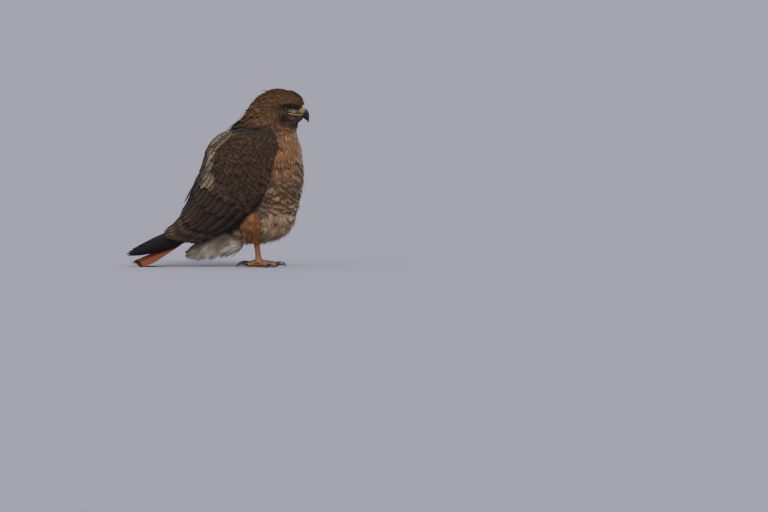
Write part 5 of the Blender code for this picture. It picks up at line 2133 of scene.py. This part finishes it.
@dataclass(frozen=True)
class FeatherFinish:
    """A feather's look: how its marks lie on the vane and how it shines."""

    name: str
    bar_count: float = 2.2
    edge_start: float = 0.82
    edge_end: float = 1.0
    roughness: float = 0.82
    barbs: float = 46.0
    relief: float = 0.12

    def build(self) -> bpy.types.Material:
        """The material, which reads its colours from the mesh."""
        graph = Graph(self.name)
        along, across, _ = graph.parts(graph.node("ShaderNodeUVMap", {}, uv_map="Vane"))
        across = ((across - 0.5) * 2.0).alone("ABSOLUTE")
        edge, bars, streak = graph.parts(graph.attribute("pattern"))
        mark = graph.attribute("mark")
        wobble = graph.noise(graph.place(), 0.35) - 0.5
        rim = along * 0.94 + across * across * 0.22 + wobble * 0.08
        rim = rim.step(self.edge_start, self.edge_end) * edge
        wave = (along * (self.bar_count * 2.0 * math.pi) + across * 0.9 + wobble * 2.0).alone("SINE")
        bar = wave.step(0.0, 0.55) * bars
        line = (1.0 - (across + wobble * 0.2).step(0.1, 0.42)) * along.step(0.1, 0.4) * streak
        colour = bar.blend(graph.attribute("base"), mark)
        colour = (line * 0.8).blend(colour, mark)
        colour = rim.blend(colour, mark)
        fine = (along * self.barbs * 6.0 - across * self.barbs * 1.6 + wobble * 3.0).alone("SINE")
        shade = 0.94 + fine * 0.07 + wobble * 0.3
        quill = 1.0 - across.step(0.02, 0.07)
        graph.set(Base_Color=colour * (shade - quill * 0.12), Roughness=self.roughness)
        graph.set(Specular_IOR_Level=0.3)
        graph.relief(fine * 0.5 + quill, self.relief)
        return graph.material


@dataclass(frozen=True)
class TailFinish(FeatherFinish):
    """A tail feather: rufous with a dark band before a pale tip."""

    band: tuple[float, float] = (0.915, 0.955)

    def build(self) -> bpy.types.Material:
        """The material, whose band lies along the vane."""
        graph = Graph(self.name)
        along, across, _ = graph.parts(graph.node("ShaderNodeUVMap", {}, uv_map="Vane"))
        across = ((across - 0.5) * 2.0).alone("ABSOLUTE")
        wobble = graph.noise(graph.place(), 0.3) - 0.5
        place = along + wobble * 0.02
        band = place.step(self.band[0], self.band[0] + 0.01)
        band = band * (1.0 - place.step(self.band[1], self.band[1] + 0.01))
        tip = place.step(self.band[1] + 0.004, self.band[1] + 0.03)
        colour = band.blend(graph.attribute("base"), graph.attribute("mark"))
        colour = tip.blend(colour, Tint.VENT)
        fine = (along * self.barbs * 12.0 - across * self.barbs * 1.6 + wobble * 3.0).alone("SINE")
        quill = 1.0 - across.step(0.02, 0.06)
        shade = 0.95 + fine * 0.05 + wobble * 0.2 - quill * 0.35
        graph.set(Base_Color=colour * shade, Roughness=self.roughness, Specular_IOR_Level=0.35)
        graph.relief(fine * 0.5 + quill, self.relief)
        return graph.material


@dataclass(frozen=True)
class PlainFinish:
    """A surface of two mixed colours with a fine grain."""

    name: str
    colour: tuple[float, float, float]
    second: tuple[float, float, float]
    roughness: float
    grain: float = 0.5
    relief: float = 0.1
    coat: float = 0.0

    def start(self) -> tuple[Graph, Wire, Wire]:
        """The material with its grain and its colour before it is set."""
        graph = Graph(self.name)
        grain = graph.noise(graph.place(), self.grain)
        colour = grain.step(0.35, 0.65).blend(self.colour, self.second)
        graph.set(Roughness=self.roughness, Coat_Weight=self.coat)
        return graph, grain, colour

    def build(self) -> bpy.types.Material:
        """The material."""
        graph, grain, colour = self.start()
        graph.set(Base_Color=colour)
        graph.relief(grain, self.relief)
        return graph.material


@dataclass(frozen=True)
class SkinFinish:
    """The skin under the feathers, in the plumage's own colours darkened as painted shade."""

    name: str
    shade: float = 0.6

    def build(self) -> bpy.types.Material:
        """The material, which reads its colours from the mesh."""
        graph = Graph(self.name)
        grain = graph.noise(graph.place(), 0.6)
        # painted shade: the plumage colours darkened to 0.45 to 0.75 for the skin seen between
        # feathers
        graph.set(Base_Color=graph.attribute("base") * (grain * 0.3 + self.shade - 0.15))
        graph.set(Roughness=0.9, Specular_IOR_Level=0.2)
        graph.relief(grain, 0.3)
        return graph.material


@dataclass(frozen=True)
class ScaleFinish(PlainFinish):
    """Scaled skin: plates parted by darker lines."""

    plate: float = 0.42

    def build(self) -> bpy.types.Material:
        """The material, with the plates' lines in its colour and relief."""
        graph, grain, colour = self.start()
        values = {"Vector": graph.place(), "Scale": self.plate}
        cell = graph.node("ShaderNodeTexVoronoi", values, feature="DISTANCE_TO_EDGE")
        line = cell.step(0.0, 0.14)
        graph.set(Base_Color=line.blend(self.second, colour))
        graph.relief(line + grain * 0.2, self.relief)
        return graph.material


@dataclass(frozen=True)
class BillFinish(PlainFinish):
    """Horn that is pale at its root and black at its tip."""

    centre: tuple[float, float, float] = (88.0, 0.0, 284.0)
    reach: tuple[float, float] = (10.0, 24.0)

    def build(self) -> bpy.types.Material:
        """The material, darker near the tip."""
        graph = Graph(self.name)
        tip = PLACE.world([self.centre])[0] / MM
        away = graph.place() - tuple(tip)
        far = graph.node("ShaderNodeVectorMath", {0: away}, 1, operation="LENGTH")
        grain = graph.noise(graph.place(), self.grain)
        pale = (far + (grain - 0.5) * 3.0).step(*self.reach)
        graph.set(Base_Color=pale.blend(self.second, self.colour))
        graph.set(Roughness=self.roughness, Coat_Weight=self.coat)
        graph.relief(grain, self.relief)
        return graph.material


@dataclass(frozen=True)
class EyeFinish:
    """An eye: a black pupil, a dull brown iris and a dark rim."""

    name: str
    side: Side
    centre: tuple[float, float, float] = (47.7, 22.5, 302.0)
    axis: tuple[float, float, float] = (0.30, 0.95, 0.05)
    pupil: float = 0.47
    iris: float = 0.76

    def build(self) -> bpy.types.Material:
        """The material, which measures the angle from the eye's axis."""
        graph = Graph(self.name)
        x, y, z = self.centre
        middle = PLACE.world([(x, self.side.value * y, z)])[0] / MM
        away = graph.place() - tuple(middle)
        away = graph.node("ShaderNodeVectorMath", {0: away}, operation="NORMALIZE")
        axis = Vector((self.axis[0], self.side.value * self.axis[1], self.axis[2])).normalized()
        values = {0: away, 1: tuple(axis)}
        near = graph.node("ShaderNodeVectorMath", values, 1, operation="DOT_PRODUCT")
        angle = near.alone("ARCCOSINE")
        fleck = graph.noise(away, 9.0, 4.0)
        iris = fleck.step(0.3, 0.7).blend(linear(92, 78, 54), linear(138, 122, 90))
        colour = angle.step(self.pupil - 0.03, self.pupil + 0.03).blend((0.004, 0.004, 0.004), iris)
        colour = angle.step(self.iris - 0.03, self.iris + 0.05).blend(colour, linear(28, 22, 20))
        graph.set(Base_Color=colour, Roughness=0.2, Specular_IOR_Level=0.25, Coat_Weight=0.15)
        return graph.material


class Looks:
    """Every material of the model."""

    def __init__(self) -> None:
        """Build them all once."""
        self.soft = FeatherFinish("soft_feathers").build()
        self.stiff = FeatherFinish(
            "stiff_feathers", bar_count=6.0, edge_start=0.93, roughness=0.6, relief=0.2
        ).build()
        self.tail = TailFinish("tail_feathers", roughness=0.65).build()
        self.skin = SkinFinish("skin").build()
        self.cere = PlainFinish(
            "cere", linear(156, 134, 68), linear(136, 114, 56), roughness=0.5, relief=0.06
        ).build()
        self.scales = ScaleFinish(
            "scales", linear(160, 115, 60), linear(112, 75, 38), roughness=0.55, relief=0.3
        ).build()
        self.bill = BillFinish(
            "bill", linear(104, 102, 96), linear(24, 23, 25), 0.42, grain=0.2, relief=0.04, coat=0.1
        ).build()
        self.lower_bill = BillFinish(
            "bill_lower", linear(40, 38, 37), linear(26, 25, 26), 0.6, grain=0.2, relief=0.04
        ).build()
        self.claw = PlainFinish(
            "claw", linear(24, 22, 22), linear(44, 40, 38), 0.25, grain=0.25, relief=0.05, coat=0.4
        ).build()
        self.lid = PlainFinish(
            "lid", linear(52, 46, 40), linear(92, 84, 66), 0.6, grain=1.2, relief=0.2
        ).build()
        self.gape = PlainFinish(
            "gape", linear(142, 118, 60), linear(112, 90, 48), 0.6, grain=0.8, relief=0.1
        ).build()
        self.eyes = {side: EyeFinish("eye_" + side.word, side).build() for side in Side}
        self.floor = PlainFinish(
            "floor", (0.335, 0.325, 0.407), (0.328, 0.318, 0.398), 0.9, grain=0.01, relief=0.0
        ).build()


@dataclass
class Skin:
    """The closed skin under the feathers of head, neck, trunk, thighs and vent."""

    body: BodySurface
    thighs: tuple[ThighSurface, ...]
    vent: VentSurface
    body_around: int = 64
    thigh_around: int = 24
    thigh_rows: int = 16
    thigh_depth: float = 2.6
    vent_around: int = 28
    vent_rows: int = 22

    def tube(
        self, name: str, surface: Surface, u: Array, around: int, h: Array, colours: Callable
    ) -> bpy.types.Object:
        """One closed part of the skin with its unwrap and colours."""
        points, faces, places = closed_tube(surface, u, around, h)
        mesh = quick_mesh(name, PLACE.world(points), faces)
        corners = places[faces]
        wrapped = np.ptp(corners[..., 1], axis=1) > math.pi
        low = wrapped[:, None] & (corners[..., 1] < 0.0)
        corners[..., 1] = np.where(low, corners[..., 1] + 2.0 * math.pi, corners[..., 1])
        spots = surface.atlas.at(corners[..., 0].ravel(), corners[..., 1].ravel())
        layer = mesh.uv_layers.new(name="OFBake")
        layer.data.foreach_set("uv", spots.astype(np.float32).ravel())
        add_colours(mesh, "base", colours(places, points))
        piece = bpy.data.objects.new(name, mesh)
        bpy.context.scene.collection.objects.link(piece)
        return piece

    def build(self, looks: Looks) -> None:
        """Make the parts, join them by one union and hand the skin over."""
        u = np.concatenate([np.linspace(0.12, 6.4, 44), np.linspace(6.8, 19.9, 40)])
        depth = np.interp(u, [0.0, 4.0, 9.0, 20.0], [-1.4, -1.8, -3.6, -4.2])
        around = self.body_around
        skin = self.tube(
            "skin", self.body, u, around, depth, lambda uv, p: PLUMAGE.body(uv[:, 1], p).base
        )
        others = []
        for thigh in self.thighs:
            u = np.linspace(0.0, 0.97, self.thigh_rows)
            depth = np.full(self.thigh_rows, -self.thigh_depth)
            colours = self.flat(Tint.TROUSER)
            others.append(self.tube("thigh", thigh, u, self.thigh_around, depth, colours))
        u = np.linspace(0.15, 6.6, self.vent_rows)
        depth = np.interp(u, [0.0, 1.0, 5.0, 7.0], [-0.8, -3.0, -3.0, -0.8])
        colours = self.flat(Tint.VENT)
        others.append(self.tube("vent", self.vent, u, self.vent_around, depth, colours))
        bpy.ops.object.select_all(action="DESELECT")
        bpy.context.view_layer.objects.active = skin
        skin.select_set(True)
        for other in others:
            union = skin.modifiers.new("union", "BOOLEAN")
            union.operation = "UNION"
            union.solver = "EXACT"
            union.object = other
            bpy.ops.object.modifier_apply(modifier=union.name)
            bpy.data.objects.remove(other)
        skin.data.materials.clear()
        skin.data.materials.append(looks.skin)
        skin.data.shade_smooth()
        settle(
            skin,
            "breast_feathers",
            ("head", "neck", "torso", "thigh_right", "thigh_left", "undertail"),
        )

    def flat(self, colour: Sequence[float]) -> Callable[[Array, Array], Array]:
        """A choice of one colour for every point."""
        return lambda _, points: np.tile(np.array(colour), (len(points), 1))


@dataclass
class Studio:
    """The floor, the light and the camera."""

    lens: float = 395.0
    sensor: float = 36.0
    distance: float = 16.0
    lift: float = 2.5
    aim: tuple[float, float, float] = (0.315, 0.0, 0.020)
    reach: float = 140.0
    sky: tuple[float, float, float, float] = (0.80, 0.82, 0.88, 1.0)
    sky_strength: float = 0.75
    suns: tuple = (("key", 2.2, (48.0, -28.0), 25.0), ("fill", 0.6, (40.0, 60.0), 60.0))

    def build(self, looks: Looks) -> None:
        """Set it all up."""
        bpy.ops.object.select_all(action="DESELECT")
        bpy.ops.mesh.primitive_circle_add(
            vertices=96, radius=self.reach, fill_type="NGON", enter_editmode=True
        )
        bpy.ops.mesh.select_all(action="SELECT")
        bpy.ops.mesh.inset(thickness=self.reach * 0.9)
        bpy.ops.object.mode_set(mode="OBJECT")
        floor = bpy.context.active_object
        floor.name = "floor"
        floor.data.materials.append(looks.floor)
        world = bpy.data.worlds.new("studio")
        bpy.context.scene.world = world
        world.use_nodes = True
        background = world.node_tree.nodes["Background"]
        background.inputs["Color"].default_value = self.sky
        background.inputs["Strength"].default_value = self.sky_strength
        for sun in self.suns:
            self.sun(*sun)
        self.camera()

    def sun(self, name: str, power: float, aim: tuple[float, float], angle: float) -> None:
        """A soft distant light, from degrees above the floor and degrees round from -Y."""
        lamp = bpy.data.lights.new(name, "SUN")
        lamp.energy = power
        lamp.angle = math.radians(angle)
        high, turn = (math.radians(a) for a in aim)
        from_point = Vector(
            (math.sin(-turn) * math.cos(high), -math.cos(turn) * math.cos(high), math.sin(high))
        )
        piece = bpy.data.objects.new(name, lamp)
        piece.rotation_euler = from_point.to_track_quat("Z", "Y").to_euler()
        bpy.context.scene.collection.objects.link(piece)

    def camera(self) -> None:
        """The camera, level with the bird and square to its side as it was seen."""
        data = bpy.data.cameras.new("camera")
        data.lens = self.lens
        data.sensor_width = self.sensor
        data.clip_end = 4.0 * self.reach
        rise = math.radians(self.lift)
        back = Vector((0.0, -math.cos(rise), math.sin(rise)))
        camera = bpy.data.objects.new("camera", data)
        camera.location = Vector(self.aim) + back * self.distance
        camera.rotation_euler = back.to_track_quat("Z", "Y").to_euler()
        bpy.context.scene.collection.objects.link(camera)
        bpy.context.scene.camera = camera


class Hawk:
    """The whole bird."""

    def __init__(self, looks: Looks) -> None:
        """Make its surfaces.

        Args:
            looks: the materials.
        """
        self.looks = looks
        self.body = BodySurface()
        self.thighs = tuple(ThighSurface(side=side) for side in Side)
        self.vent = VentSurface()
        self.tail = Tail(TailSurface())
        self.wings = tuple(Wing(side) for side in Side)

    def build(self) -> None:
        """Build every part."""
        Skin(self.body, self.thighs, self.vent).build(self.looks)
        slots = ("head_feathers", "neck_feathers", "breast_feathers", "breast_feathers")
        nodes = (("head",), ("neck",), ("torso",), ("torso",))
        for coat, slot, stands in zip(BodyCoat(self.body).build(), slots, nodes):
            coat.finish(self.looks.soft, slot, stands)
        for wing in self.wings:
            node = ("wing_" + wing.side.word,)
            self.wing_core(wing, node)
            wing.flight().finish(self.looks.stiff, "wing_feathers", node)
            wing.coverts().finish(self.looks.soft, "wing_feathers", node)
        self.tail.vanes().finish(self.looks.tail, "tail_feathers", ("tail",))
        self.tail.coverts().finish(self.looks.soft, "tail_feathers", ("tail",))
        for thigh in self.thighs:
            node = ("thigh_" + thigh.side.word,)
            Trousers(thigh).coat().finish(self.looks.soft, "trouser_feathers", node)
        Vent(self.vent).coat().finish(self.looks.soft, "vent_feathers", ("undertail",))
        Bill().build(self.looks)
        for side in Side:
            Eye(side).build(self.looks)
            Gape(self.body).build(side, self.looks)
            Leg(side).build(self.looks)

    def wing_core(self, wing: Wing, nodes: tuple[str, ...]) -> None:
        """The closed body of a folded wing under its feathers."""
        points, faces = wing.shell()
        name = "wing_core_" + wing.side.word
        mesh = quick_mesh(name, PLACE.world(points), faces)
        # painted shade: the core takes the darkest wing colour, so gaps between the wing's feathers
        # look shaded
        add_colours(mesh, "base", np.tile(np.array(Tint.WING_DARK), (len(points), 1)))
        mesh.materials.append(self.looks.skin)
        piece = bpy.data.objects.new(name, mesh)
        bpy.context.scene.collection.objects.link(piece)
        settle(piece, "wing_feathers", nodes)


def main() -> None:
    """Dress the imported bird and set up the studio."""
    logging.basicConfig(level=logging.INFO, format="%(message)s")
    looks = Looks()
    Hawk(looks).build()
    Studio().build(looks)


if __name__ == "__main__":
    main()
